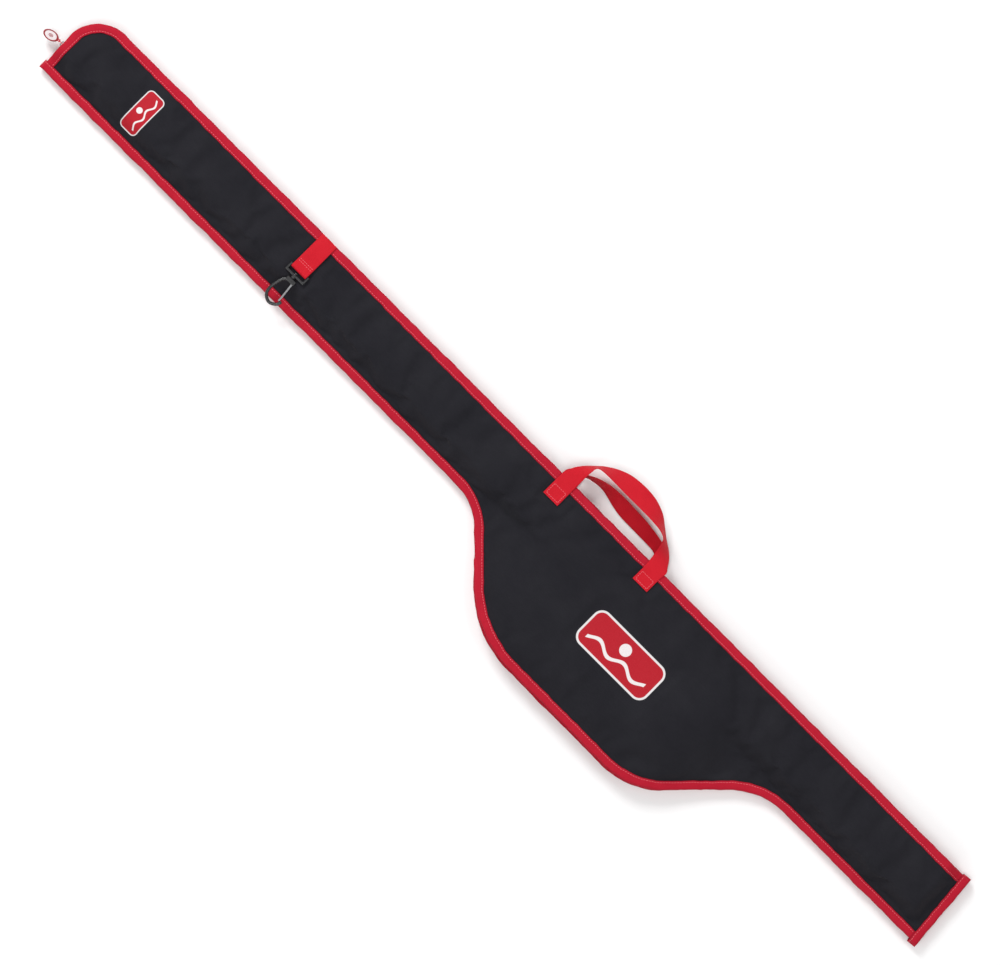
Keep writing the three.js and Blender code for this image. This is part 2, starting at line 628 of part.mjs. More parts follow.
// ---- hook strap and snap hook -------------------------------------------------------------------
const STRAP_TOP_Y = CASE_WIDTH - TAPE_WIDTH - 0.8;
const STRAP_FOLDED = 2.6; // two layers of webbing
const [barY, barZ] = EYE_BAR;
const strapBottom = FACE_Z + 0.4;
const LOOP_RADIUS = barZ - strapBottom;
const tabZ = [TAPE_FACE_Z + GAP, TAPE_FACE_Z + GAP + WEB_THICK];
add('hook_strap_tab', block(sides(HOOK_X), [STRAP_TOP_Y + 0.6, CASE_WIDTH - 0.2], tabZ), red);
const strapShape = new THREE.Shape();
strapShape.moveTo(STRAP_TOP_Y, strapBottom);
strapShape.lineTo(STRAP_TOP_Y, strapBottom + STRAP_FOLDED);
strapShape.lineTo(barY + 11, strapBottom + STRAP_FOLDED);
strapShape.lineTo(barY + 1, barZ + LOOP_RADIUS);
strapShape.absarc(barY, barZ, LOOP_RADIUS, Math.PI / 2, 1.5 * Math.PI);
const barHole = new THREE.Path();
barHole.absarc(barY, barZ, 1.9, 0, 2 * Math.PI, true);
strapShape.holes.push(barHole);
// the section is drawn in y, z and pushed out along x
const strapLeft = HOOK_X - WEBBING / 2;
const upright = new THREE.Matrix4().set(0, 0, 1, strapLeft, 1, 0, 0, 0, 0, 1, 0, 0, 0, 0, 0, 1);
add('hook_strap', new THREE.ExtrudeGeometry(
  strapShape, { depth: WEBBING, bevelEnabled: false, curveSegments: 5 }).applyMatrix4(upright), red);

const EYE_HALF = 15.5;
const EYE_SIDE = 2.5;
const EYE_LOW_Y = 40;
const STEM_R = 1.4;
const eyeSide = (sign) => block(
  around(HOOK_X + sign * (EYE_HALF - EYE_SIDE / 2), EYE_SIDE / 2), [EYE_LOW_Y, barY + 1.5], around(barZ, 1.5));
add('hook_eye', joined([
  rodAlongX(1.4, around(HOOK_X, EYE_HALF - 0.5), barY, barZ),
  eyeSide(-1),
  eyeSide(1),
  block(around(HOOK_X, EYE_HALF), [EYE_LOW_Y, EYE_LOW_Y + 3], around(barZ, 1.5)),
  rodAlongY(3.1, HOOK_X, [EYE_LOW_Y - 3, EYE_LOW_Y + 2.9], barZ),
], [rodAlongY(STEM_R + 0.4, HOOK_X, [EYE_LOW_Y - 8, EYE_LOW_Y + 8], barZ)]), plastic);

// pear-shaped hook: a bent bar with a stem that turns in the eye
class HookLine extends THREE.CatmullRomCurve3 {
  constructor(points) {
    super(points.map(([x, y]) => new THREE.Vector3(HOOK_X + x, y, barZ)), false, 'centripetal');
  }
}
const hookBar = new HookLine(
  [[-1, 34], [-7, 29.5], [-10.2, 20], [-11.6, 10], [-9.4, 1], [0, -4.6], [9.4, 0.4], [11.4, 6.5]]);
const barSection = new THREE.Shape(Array.from({ length: 8 }, (_, k) => {
  const a = (k * Math.PI) / 4 + Math.PI / 8;
  return new THREE.Vector2(2.3 * Math.cos(a), 2.3 * Math.sin(a));
}));
const bent = new THREE.ExtrudeGeometry(barSection, { steps: 22, extrudePath: hookBar, bevelEnabled: false });
const SHOULDER_Y = [30.6, 36.4];
const GATE_PIVOT = [5, 33.4];
const GATE_HALF = 0.8;
const gateSlot = block(
  [HOOK_X + 1.4, HOOK_X + 9], [SHOULDER_Y[0] - 1, SHOULDER_Y[1] - 0.8], around(barZ, GATE_HALF + GAP));
add('hook_body', joined([
  bent,
  block([HOOK_X - 6, HOOK_X + 7.6], SHOULDER_Y, around(barZ, 2.3)),
  rodAlongY(STEM_R, HOOK_X, [SHOULDER_Y[1] - 1, EYE_LOW_Y + 4], barZ),
  rodAlongY(2.4, HOOK_X, [EYE_LOW_Y + 3.4, EYE_LOW_Y + 5], barZ),
], [gateSlot]), plastic);

const gateShape = new THREE.Shape();
gateShape.moveTo(GATE_PIVOT[0] - 1.3, GATE_PIVOT[1]);
gateShape.absarc(GATE_PIVOT[0], GATE_PIVOT[1], 1.3, Math.PI, 0, true);
gateShape.lineTo(8.9, 9);
gateShape.lineTo(8.7, 4.6);
gateShape.lineTo(6.9, 4.6);
gateShape.lineTo(6.6, 9);
add('hook_gate', new THREE.ExtrudeGeometry(
  gateShape, { depth: 2 * GATE_HALF, bevelEnabled: false, curveSegments: 4 })
  .translate(HOOK_X, 0, barZ - GATE_HALF), metal);

// ---- the origin is the middle of the footprint, on the ground ------------------------------------
const box = new THREE.Box3().setFromObject(group);
const middle = box.getCenter(new THREE.Vector3());
group.position.set(-middle.x, -middle.y, -box.min.z);

export default group;
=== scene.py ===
"""Padded rod case with a reel pouch: its looks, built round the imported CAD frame.

Shapes are drawn in millimetres in the outline frame: x = 0 at the tip end, y = 0 along the straight
lower seam, z = 0 on the ground. row() turns them into the row frame, in metres.
"""

import math

import bmesh
import bpy
import numpy as np
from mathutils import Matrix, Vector


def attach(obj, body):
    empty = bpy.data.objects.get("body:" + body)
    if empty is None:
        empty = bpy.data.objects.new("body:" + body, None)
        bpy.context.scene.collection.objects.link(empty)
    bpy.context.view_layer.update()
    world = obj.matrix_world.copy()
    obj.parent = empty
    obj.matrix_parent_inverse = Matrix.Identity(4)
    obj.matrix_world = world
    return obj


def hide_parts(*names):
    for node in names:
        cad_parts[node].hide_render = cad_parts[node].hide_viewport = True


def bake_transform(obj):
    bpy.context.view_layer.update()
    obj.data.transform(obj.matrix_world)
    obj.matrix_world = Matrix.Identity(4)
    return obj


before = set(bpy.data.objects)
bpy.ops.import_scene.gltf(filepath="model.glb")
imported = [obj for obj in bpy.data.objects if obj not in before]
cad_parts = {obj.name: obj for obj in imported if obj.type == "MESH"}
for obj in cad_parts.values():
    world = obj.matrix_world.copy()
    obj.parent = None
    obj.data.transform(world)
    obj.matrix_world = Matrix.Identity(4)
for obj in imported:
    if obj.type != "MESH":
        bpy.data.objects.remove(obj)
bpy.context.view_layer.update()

# ---- the case's own measures, millimetres -------------------------------------------------------
ORIGIN = np.array([762.551, 23.585, 0.0])  # the row frame's origin, in the outline frame
WIDTH = 104.0
BUTT = 1554.0
SLANT = 9.0  # the butt end leans back this far over the width
BELLY = [(770, 0, 80), (886, -116, 155), (1162, -117, 113), (1279, 0, 97)]
TIP_RADIUS = 47.5
BACK_LOW, BACK_HIGH = 1.1, 6.5  # the back panel's two faces
BACK_TAPE_TOP = 7.6
SEAM_HEIGHT = 6.8  # underside of the front panel where it is pinched
RISE = 13.8  # from there up to the flat cover
DOME = 12.0
STACK = 5.4  # one padded panel
FOLD_Y = 36.0
FLAP_END = 1285.0
TAPE = 0.8
TAPE_WIDTH = 12.0
TAPE_LIFT = 1.1  # how far a tape's face stands above the cloth
WEB = 25.0
WEB_THICK = 1.3
BAR_Y, BAR_Z = 50.3, 29.5  # the hook eye's bar
HOOK_X = 411.0
LINK_X, ZIP_Y, ZIP_Z = -7.4, 40.5, 13.55  # the pull link's far side
PULL_LONG, PULL_WIDE, PULL_NECK, PULL_TILT = 21.0, 13.0, 1.2, 12.0  # the pull's oval, tilted in degrees
HANDLE_ENDS = ((834, 73.4), (989, 76.2))  # x of each sewn end's middle, y where its stitches start
POUCH_SPAN = (818, 1227)  # the pouch's own tapes run between these x
PRINTS = (((1034, -5), (60, 27), False), ((132, 50), (30, 13.5), True))  # centre, half size, turned


def row(points):
    """Outline frame in millimetres to row frame in metres."""
    return (np.asarray(points, float) - ORIGIN) / 1000


def cos_sin(degrees):
    angle = math.radians(degrees)
    return math.cos(angle), math.sin(angle)


def unit(vectors):
    """Each row scaled to length 1."""
    return vectors / np.linalg.norm(vectors, axis=1)[:, None]


def smooth(t):
    """Eased step from 0 to 1."""
    t = np.clip(t, 0, 1)
    return t * t * (3 - 2 * t)


def ripple(s, seed, length):
    """A gentle uneven wave along s, about -1 to 1, mostly of the given wavelength."""
    total = 0
    for k, stretch in enumerate((1.0, 0.618, 0.377, 1.73)):
        total = total + np.sin(2 * np.pi * s / (length * stretch) + seed * (1.3 + k * 2.1))
    return total / 2.6


# ---- outline and heights ------------------------------------------------------------------------
def rounded(corners, step=3.0):
    """A run of corners (x, y, radius) as a dense, evenly spaced line."""
    line = []
    last = len(corners) - 1
    for k, corner in enumerate(corners):
        here = np.array(corner[:2], float)
        radius = corner[2] if len(corner) > 2 else 0
        if k in (0, last) or not radius:
            line.append(here)
            continue
        into = here - np.array(corners[k - 1][:2], float)
        out = np.array(corners[k + 1][:2], float) - here
        into /= np.linalg.norm(into)
        out /= np.linalg.norm(out)
        turn = math.atan2(into[0] * out[1] - into[1] * out[0], into @ out)
        start = here - into * radius * math.tan(abs(turn) / 2)
        centre = start + np.array([-into[1], into[0]]) * math.copysign(radius, turn)
        for t in np.linspace(0, turn, 25):
            c, s = math.cos(t), math.sin(t)
            arm = start - centre
            line.append(centre + np.array([c * arm[0] - s * arm[1], s * arm[0] + c * arm[1]]))
    return resampled(np.array(line), step)


def lengths(line):
    """Distance along a line at each of its points."""
    steps = np.linalg.norm(np.diff(line, axis=0), axis=1)
    return np.concatenate([[0], np.cumsum(steps)])


def sampled(line, at, wanted):
    """A line's values, known at the distances at, read at the wanted distances."""
    return np.stack([np.interp(wanted, at, line[:, k]) for k in range(line.shape[1])], 1)


def resampled(line, step):
    """The same line with points about step apart."""
    at = lengths(line)
    count = max(2, int(round(at[-1] / step)) + 1)
    return sampled(line, at, np.linspace(0, at[-1], count))


def outward(line):
    """Normals on the right of a line; the case lies on its left."""
    along = unit(np.gradient(line, axis=0))
    return np.stack([along[:, 1], -along[:, 0]], 1)


LOWER = rounded([(-2.5, 0), *BELLY, (BUTT, 0)])
BUTT_TOP = BUTT - SLANT


def lower_y(x, inset=2.2):
    """Height of the outline's lower side at x, moved inwards."""
    inner = LOWER - outward(LOWER) * inset
    order = np.maximum.accumulate(inner[:, 0])
    return np.interp(x, order, inner[:, 1])


def upper_y(x, inset=2.2):
    """Height of the zip side at x, with the rounded tip corner."""
    radius = TIP_RADIUS - inset
    back = np.clip(inset + radius - x, 0, radius)
    return WIDTH - inset - radius + np.sqrt(radius * radius - back * back)


def butt_x(y):
    """The butt end's slanted edge."""
    return BUTT - SLANT * y / WIDTH


def pouch(x):
    """1 where the reel pouch is open to its full depth, 0 along the slender case."""
    return smooth((x - 795) / 110) * smooth((1250 - x) / 110)


def underside(x, y):
    """Underside of the front panel: pinched at the seams, flat on the cover, domed on the pouch."""
    opened = pouch(x)
    seam = smooth((y - 14) / 22)
    lifted = (seam + (1 - seam) * opened) * smooth((butt_x(y) - x - 14) / 22)
    start = lower_y(x) + 14
    across = np.clip((FOLD_Y - y) / np.maximum(FOLD_Y - start, 1), 0, 1)
    return SEAM_HEIGHT + RISE * lifted + DOME * opened * np.sin(np.pi * across)


# ---- meshes -------------------------------------------------------------------------------------
def quads_between(index, closed):
    """Faces between neighbouring rows of point numbers."""
    right = np.roll(index, -1, 1) if closed else index[:, 1:]
    left = index if closed else index[:, :-1]
    return np.stack([left[:-1], right[:-1], right[1:], left[1:]], -1).reshape(-1, 4)


def placed(name, data):
    """A new object in the scene."""
    obj = bpy.data.objects.new(name, data)
    bpy.context.collection.objects.link(obj)
    return obj


def dressed(mesh, places, looks):
    """Gives a mesh its looks, smooth faces, and each point's place on the flat cloth."""
    lay = mesh.attributes.get("lay") or mesh.attributes.new("lay", "FLOAT_VECTOR", "POINT")
    lay.data.foreach_set("vector", places.astype(np.float32).ravel())
    mesh.polygons.foreach_set("use_smooth", [True] * len(mesh.polygons))
    for look in looks:
        mesh.materials.append(look)


class Shell:
    """Gathers grids of points into one mesh; lay holds each point's place on the flat cloth."""

    def __init__(self):
        self.points = []
        self.lays = []
        self.faces = []
        self.looks = []
        self.count = 0

    def add(self, points, lays, faces, look=0):
        self.faces.extend((np.asarray(f) + self.count).tolist() for f in faces)
        self.looks.extend([look] * len(faces))
        self.points.append(np.asarray(points, float).reshape(-1, 3))
        self.lays.append(np.asarray(lays, float).reshape(-1, 3))
        self.count += len(self.points[-1])

    def grid(self, points, lays, look=0, closed=False, caps=False):
        """Rows of points, each row a section; a closed section joins its last point to its first."""
        rows, across = points.shape[:2]
        index = np.arange(rows * across).reshape(rows, across)
        faces = list(quads_between(index, closed))
        if caps:
            faces += [index[0][::-1], index[-1]]
        self.add(points, lays, faces, look)

    def beads(self, points, look):
        """Many small closed bodies; points holds rows of rings for each of them."""
        count, rows, ring = points.shape[:3]
        index = np.arange(rows * ring).reshape(rows, ring)
        quads = quads_between(index, True)
        faces = []
        for start in range(0, count * rows * ring, rows * ring):
            faces.extend(quads + start)
            faces.extend([index[0][::-1] + start, index[-1] + start])
        self.add(points, points, faces, look)

    def piece(self, name, looks, crease=50):
        """The gathered mesh as an object; edges sharper than crease degrees stay crisp."""
        mesh = bpy.data.meshes.new(name)
        points = row(np.concatenate(self.points))
        mesh.from_pydata(points.tolist(), [], self.faces)
        dressed(mesh, np.concatenate(self.lays), looks)
        mesh.polygons.foreach_set("material_index", self.looks)
        clean = bmesh.new()
        clean.from_mesh(mesh)
        bmesh.ops.recalc_face_normals(clean, faces=clean.faces)
        clean.to_mesh(mesh)
        clean.free()
        mesh.set_sharp_from_angle(angle=math.radians(crease))
        return placed(name, mesh)


def stitch_row(shell, line, up, look=1, pitch=3.6, long=2.7, wide=0.62, high=0.42):
    """Thread stitches lying along a line; up is the cloth's outward direction at each point."""
    at = lengths(line)
    count = int(at[-1] / pitch)
    if count < 1:
        return
    middles = (np.arange(count) + 0.5) * at[-1] / count
    place = sampled(line, at, middles)
    along = unit(sampled(line, at, middles + 0.5) - sampled(line, at, middles - 0.5))
    side = unit(np.cross(along, sampled(up, at, middles)))
    normal = np.cross(side, along)
    steps = np.array([-1, -0.8, 0, 0.8, 1])
    swell = np.array([0.35, 0.85, 1.0, 0.85, 0.35])
    sink = np.array([-0.5, -0.1, 0.12, -0.1, -0.5])
    turns = np.linspace(0, 2 * np.pi, 7)[:-1]
    points = (
        place[:, None, None]
        + along[:, None, None] * (steps * long / 2)[None, :, None, None]
        + side[:, None, None] * (swell[:, None] * np.cos(turns) * wide / 2)[None, :, :, None]
        + normal[:, None, None]
        * (swell[:, None] * np.sin(turns) * high / 2 + (sink * high)[:, None])[None, :, :, None]
    )
    shell.beads(points, look)


# ---- materials ----------------------------------------------------------------------------------
class Look:
    """A principled material; sockets that vary are linked, the others are set directly."""

    def __init__(self, name, **constants):
        self.material = bpy.data.materials.new(name)
        self.material.use_nodes = True
        self.tree = self.material.node_tree
        self.shader = self.tree.nodes["Principled BSDF"]
        for key, value in constants.items():
            self.shader.inputs[key.replace("_", " ")].default_value = value
        lay = self.node("Attribute")
        lay.attribute_name = "lay"
        self.place = lay.outputs["Vector"]
        self.height = None

    def math(self, operation, *values):
        """A math node's result."""
        node = self.node("Math")
        node.operation = operation
        for socket, value in zip(node.inputs, values):
            self.put(socket, value)
        return node.outputs[0]

    def times(self, a, b):
        return self.math("MULTIPLY", a, b)

    def node(self, kind):
        return self.tree.nodes.new("ShaderNode" + kind)

    def put(self, socket, value):
        """Links a result into a socket, or sets the socket to a plain value."""
        if isinstance(value, bpy.types.NodeSocket):
            self.tree.links.new(value, socket)
        else:
            socket.default_value = value

    def axes(self):
        node = self.node("SeparateXYZ")
        self.put(node.inputs[0], self.place)
        return node.outputs[0], node.outputs[1], node.outputs[2]

    def noise(self, size, detail=2.0, rough=0.5, stretch=(1, 1, 1)):
        """Noise whose features are about size millimetres across, 0 to 1."""
        mapping = self.node("Mapping")
        mapping.inputs["Scale"].default_value = [s / size for s in stretch]
        self.put(mapping.inputs["Vector"], self.place)
        node = self.node("TexNoise")
        for key, value in (("Scale", 1.0), ("Detail", detail), ("Roughness", rough)):
            node.inputs[key].default_value = value
        self.put(node.inputs["Vector"], mapping.outputs[0])
        return node.outputs["Fac"]

    def between(self, factor, low, high, a=0.0, b=1.0):
        """Eased from low at factor a to high at factor b."""
        node = self.node("MapRange")
        node.interpolation_type = "SMOOTHSTEP"
        for socket, value in zip(node.inputs, (factor, a, b, low, high)):
            self.put(socket, value)
        return node.outputs[0]

    def mix(self, factor, a, b):
        node = self.node("Mix")
        node.data_type = "RGBA"
        self.put(node.inputs[0], factor)
        self.put(node.inputs[6], a if isinstance(a, bpy.types.NodeSocket) else (*a, 1))
        self.put(node.inputs[7], b if isinstance(b, bpy.types.NodeSocket) else (*b, 1))
        return node.outputs[2]

    def bump(self, height, distance, strength=1.0):
        node = self.node("Bump")
        node.inputs["Strength"].default_value = strength
        node.inputs["Distance"].default_value = distance / 1000
        self.put(node.inputs["Height"], height)
        if self.height is not None:
            self.put(node.inputs["Normal"], self.height)
        self.height = node.outputs[0]

    def done(self, colour, roughness):
        self.put(self.shader.inputs["Base Color"], colour)
        self.put(self.shader.inputs["Roughness"], roughness)
        if self.height is not None:
            self.put(self.shader.inputs["Normal"], self.height)
        return self.material

    def plain_weave(self, pitch_x, pitch_y):
        """Threads over and under, 0 to 1."""
        x, y, _ = self.axes()
        a = self.math("SINE", self.times(x, math.pi / pitch_x))
        b = self.math("SINE", self.times(y, math.pi / pitch_y))
        return self.math("MULTIPLY_ADD", self.times(a, b), 0.5, 0.5)

    def ribs(self, pitch, sway=0.0, sway_pitch=1.0):
        """Rounded ribs that run along x and repeat across y, each broken into its threads."""
        x, y, _ = self.axes()
        bend = self.math("SINE", self.times(x, 2 * math.pi / sway_pitch))
        shifted = self.math("MULTIPLY_ADD", bend, sway, y)
        wave = self.math("SINE", self.times(shifted, math.pi / pitch))
        return self.math("ABSOLUTE", wave)

    def rib_lines(self, pitch):
        """Cross ribs that repeat along x."""
        x, _, _ = self.axes()
        return self.math("ABSOLUTE", self.math("SINE", self.times(x, math.pi / pitch)))


def print_masks(look, centre, half, turned):
    """A plain printed plaque: its border, its field, and a float above a wave line in it."""
    x, y, _ = look.axes()
    u = look.math("SUBTRACT", x, centre[0])
    v = look.math("SUBTRACT", y, centre[1])
    if turned:
        u, v = v, look.times(u, -1.0)
    long, high = half
    corner = high * 0.5

    def beyond(value, limit):
        return look.math("MAXIMUM", look.math("SUBTRACT", look.math("ABSOLUTE", value), limit), 0.0)

    def within(distance, limit):
        return look.between(distance, 1.0, 0.0, limit - 0.3, limit + 0.3)

    def apart(du, dv):
        squares = look.math("ADD", look.times(du, du), look.times(dv, dv))
        return look.math("SQRT", squares)

    edge = apart(beyond(u, long - corner), beyond(v, high - corner))
    plaque = within(edge, corner)
    field = within(edge, corner - high * 0.1)
    swing = look.times(look.math("SINE", look.times(u, 9.0 / long)), high * 0.16)
    below = look.math("ADD", v, high * 0.34)
    wave = within(look.math("ABSOLUTE", look.math("SUBTRACT", below, swing)), high * 0.09)
    ends = within(look.math("ABSOLUTE", u), long * 0.8)
    ball = within(apart(u, look.math("SUBTRACT", v, high * 0.32)), high * 0.3)
    mark = look.math("MAXIMUM", look.times(wave, ends), ball)
    return plaque, field, mark


def case_cloth(name, prints=False):
    """Black polyester: plain weave, faint slubs, soft lighter patches, a little sheen."""
    look = Look(name, Sheen_Weight=0.05, Sheen_Roughness=0.45, Specular_IOR_Level=0.2)
    weave = look.plain_weave(0.55, 0.55)
    slub = look.noise(2.4, 2.0, 0.6, (0.25, 1, 1))
    cloudy = look.noise(60, 3.0, 0.55)
    fine = look.noise(0.9, 1.0)
    dark = look.mix(cloudy, (0.0048, 0.0046, 0.0070), (0.0100, 0.0096, 0.0134))
    thread = look.times(weave, look.between(slub, 0.35, 0.8))
    colour = look.mix(thread, dark, (0.0165, 0.0160, 0.0215))
    rough = look.between(look.times(cloudy, fine), 0.94, 0.72, 0.1, 0.5)
    if prints:
        for centre, half, turned in PRINTS:
            plaque, field, mark = print_masks(look, centre, half, turned)
            ink = look.between(fine, 0.86, 1.0)
            colour = look.mix(look.times(plaque, ink), colour, (0.72, 0.70, 0.70))
            red = look.mix(fine, (0.34, 0.004, 0.012), (0.46, 0.008, 0.020))
            colour = look.mix(field, colour, red)
            colour = look.mix(look.times(mark, ink), colour, (0.74, 0.72, 0.72))
            rough = look.math("SUBTRACT", rough, look.times(plaque, 0.28))
    look.bump(look.noise(9, 3.0, 0.6), 0.35, 0.6)
    look.bump(weave, 0.12, 0.8)
    return look.done(colour, rough)


def lining_cloth():
    """Thin grey-black nylon taffeta with a soft gloss."""
    look = Look("lining", Sheen_Weight=0.1, Specular_IOR_Level=0.4)
    weave = look.plain_weave(0.4, 0.32)
    cloudy = look.noise(45, 3.0)
    colour = look.mix(cloudy, (0.022, 0.022, 0.026), (0.036, 0.036, 0.042))
    look.bump(look.noise(14, 3.0, 0.6), 0.8, 0.7)
    look.bump(weave, 0.06, 0.7)
    return look.done(colour, look.between(cloudy, 0.66, 0.5))


def red_tape():
    """Woven edge tape: fine cross ribs, with painted shade along its inner edge beside the cloth and where
    it turns over the edge.
    """
    look = Look("red_tape", Sheen_Weight=0.015, Sheen_Roughness=0.4, Specular_IOR_Level=0.13)
    ribs = look.rib_lines(0.62)
    cloudy = look.noise(26, 3.0, 0.6)
    fine = look.noise(1.6, 2.0, 0.6)
    deep = look.mix(cloudy, (0.29, 0.0026, 0.0125), (0.42, 0.0048, 0.0195))
    lit = look.mix(look.times(ribs, fine), deep, (0.52, 0.013, 0.037))
    _, across, _ = look.axes()
    # painted shade: a shadow band along the inner edge where the tape meets the cloth, and darker where the
    # tape turns over the edge
    near_edge = look.between(across, 0.0, 0.72, 10.4, 12.2)
    turned = look.between(across, 0.3, 0.0, 0.2, 1.2)
    # the painted edge shade, broken up by noise, mixed towards dark red below
    painted_edge_shade = look.times(look.math("MAXIMUM", near_edge, turned), look.between(fine, 0.5, 1.0))
    colour = look.mix(painted_edge_shade, lit, (0.13, 0.003, 0.008))
    look.bump(look.noise(6, 2.0, 0.5), 0.3, 0.5)
    look.bump(ribs, 0.10, 0.8)
    return look.done(colour, look.between(cloudy, 0.78, 0.6))


def red_webbing():
    """Polypropylene webbing: lengthwise ribs in a chevron, with a painted highlight on their crowns and
    painted shade between them.
    """
    look = Look("red_webbing", Sheen_Weight=0.015, Sheen_Roughness=0.4, Specular_IOR_Level=0.14)
    ribs = look.ribs(1.25, 0.28, 1.9)
    threads = look.rib_lines(0.8)
    cloudy = look.noise(22, 3.0, 0.6)
    fine = look.noise(1.4, 2.0, 0.6)
    deep = look.mix(cloudy, (0.43, 0.0032, 0.0110), (0.57, 0.0054, 0.0165))
    # painted highlight: the rib crowns are lighter
    colour = look.mix(look.times(ribs, fine), deep, (0.69, 0.013, 0.029))
    # painted shade in the gaps between the ribs
    gap = look.between(ribs, 1.0, 0.0, 0.02, 0.3)
    colour = look.mix(look.times(gap, 0.55), colour, (0.26, 0.004, 0.010))
    look.bump(look.times(ribs, look.between(threads, 0.75, 1.0)), 0.3, 0.9)
    return look.done(colour, look.between(cloudy, 0.7, 0.5))


def thread(name, colour):
    look = Look(name, Specular_IOR_Level=0.4)
    twist = look.noise(0.5, 1.0, 0.5, (0.4, 2, 2))
    low = tuple(c * 0.7 for c in colour)
    return look.done(look.mix(twist, low, colour), look.between(twist, 0.6, 0.42))


def zip_tape_cloth():
    look = Look("zip_tape", Sheen_Weight=0.1, Specular_IOR_Level=0.3)
    ribs = look.rib_lines(0.5)
    cloudy = look.noise(20, 2.0)
    colour = look.mix(cloudy, (0.010, 0.010, 0.011), (0.022, 0.022, 0.024))
    look.bump(ribs, 0.12, 0.9)
    return look.done(colour, look.between(cloudy, 0.85, 0.7))


def moulded(name, low, high, rough, grain=0.03, **constants):
    """Moulded or die-cast surface: faint flow marks, fine grain, handling scuffs."""
    look = Look(name, **constants)
    flow = look.noise(12, 3.0, 0.6)
    scuff = look.between(look.noise(1.6, 4.0, 0.7, (1, 0.3, 1)), 0.0, 1.0, 0.55, 0.75)
    scuffed = tuple(min(c * 2.2 + 0.01, 1) for c in high)
    colour = look.mix(look.times(scuff, 0.25), look.mix(flow, low, high), scuffed)
    look.bump(look.noise(0.5, 2.0), grain, 0.5)
    return look.done(colour, look.between(look.math("ADD", flow, scuff), rough[0], rough[1], 0.2, 1.4))


def floor_look():
    look = Look("floor", Specular_IOR_Level=0.2)
    coordinates = look.node("TexCoord")
    look.place = coordinates.outputs["Object"]
    cloudy = look.noise(0.8, 2.0)
    return look.done(look.mix(cloudy, (0.86, 0.86, 0.86), (0.88, 0.88, 0.88)), 0.8)


BLACK = case_cloth("black_fabric", prints=True)
PLAIN_BLACK = case_cloth("plain_black_fabric")
LINING = lining_cloth()
RED = red_tape()
WEBBING = red_webbing()
RED_THREAD = thread("red_thread", (0.86, 0.17, 0.20))
ZIP_TAPE = zip_tape_cloth()
COIL = moulded("zip_coil", (0.010, 0.010, 0.011), (0.020, 0.020, 0.022), (0.32, 0.5),
               Specular_IOR_Level=0.5)
METAL = moulded("zip_metal", (0.16, 0.165, 0.175), (0.24, 0.245, 0.26), (0.28, 0.5), Metallic=0.9)
LINK_PAINT = moulded("red_link", (0.45, 0.008, 0.020), (0.60, 0.014, 0.034), (0.3, 0.5), Coat_Weight=0.3)
BADGE = moulded("pull_badge", (0.60, 0.54, 0.55), (0.72, 0.65, 0.66), (0.3, 0.5), Coat_Weight=0.2)
BADGE_DARK = moulded("pull_rim", (0.20, 0.006, 0.012), (0.30, 0.010, 0.018), (0.35, 0.55))
PLASTIC = moulded("hook_plastic", (0.0085, 0.0085, 0.0095), (0.015, 0.015, 0.017), (0.24, 0.42), 0.05,
                  Specular_IOR_Level=0.55, Coat_Weight=0.15)
STEEL = moulded("gate_steel", (0.20, 0.20, 0.21), (0.34, 0.34, 0.35), (0.3, 0.45), Metallic=1.0)


# ---- the two padded panels ----------------------------------------------------------------------
SETTLE_FRAMES = 20
SETTLE_CAP = 5.0  # no point moves further than this
LOWER_ROWS = 15
UPPER_ROWS = 13
COLUMNS = 250


def panel_plan():
    """Plan places (x, y) of the panel's grid; one row runs exactly along the fold line."""
    edge = 2.2
    near_tip = np.array([edge, 3.2, 5, 7.5, 10.5, 14])
    middle = np.linspace(20, FLAP_END, int(COLUMNS * 0.82))
    rest = np.linspace(FLAP_END, BUTT - edge, int(COLUMNS * 0.2))[1:]
    columns = np.concatenate([near_tip, middle, rest])
    low, high = lower_y(columns), upper_y(columns)
    below = np.linspace(0, 1, LOWER_ROWS)[None]
    above = np.linspace(0, 1, UPPER_ROWS)[None, 1:]
    y = np.concatenate([
        low[:, None] + (FOLD_Y - low)[:, None] * below,
        FOLD_Y + (high - FOLD_Y)[:, None] * above,
    ], 1)
    lean = smooth((columns - 1300) / (BUTT - edge - 1300))[:, None]
    x = columns[:, None] - SLANT * y / WIDTH * lean
    return x, y


def edge_distance(x, y):
    """How far a plan place lies inside the outline."""
    slope = (lower_y(x + 2, 0) - lower_y(x - 2, 0)) / 4
    low = (y - lower_y(x, 0)) / np.sqrt(1 + slope * slope)
    corner_y = WIDTH - TIP_RADIUS
    corner = (x < TIP_RADIUS) & (y > corner_y)
    high = np.where(corner, TIP_RADIUS - np.hypot(TIP_RADIUS - x, y - corner_y), WIDTH - y)
    return np.minimum(np.minimum(low, high), np.minimum(x, butt_x(y) - x))


CREASES = [  # x, y, direction in degrees, half length, half width, height
    (808, 40, 62, 46, 9, 1.5), (838, 20, 58, 52, 10, -1.2), (868, 44, 66, 40, 12, 1.0),
    (1236, 30, 116, 44, 10, 1.5), (1262, 44, 112, 40, 9, -1.1), (1206, 46, 120, 44, 12, 0.9),
    (345, 62, 74, 30, 9, 0.8), (372, 52, 70, 34, 11, -0.7), (620, 56, 98, 32, 14, 0.7),
    (520, 48, 84, 34, 16, -0.6), (212, 58, 92, 30, 14, 0.6), (705, 52, 80, 34, 13, 0.7),
    (1395, 60, 96, 32, 14, 0.8), (1465, 52, 84, 30, 12, -0.6), (1010, -60, 20, 90, 26, 1.6),
    (950, -48, 38, 56, 16, -1.2), (1105, -56, 150, 60, 16, -1.1), (1080, 74, 78, 28, 14, 0.5),
]


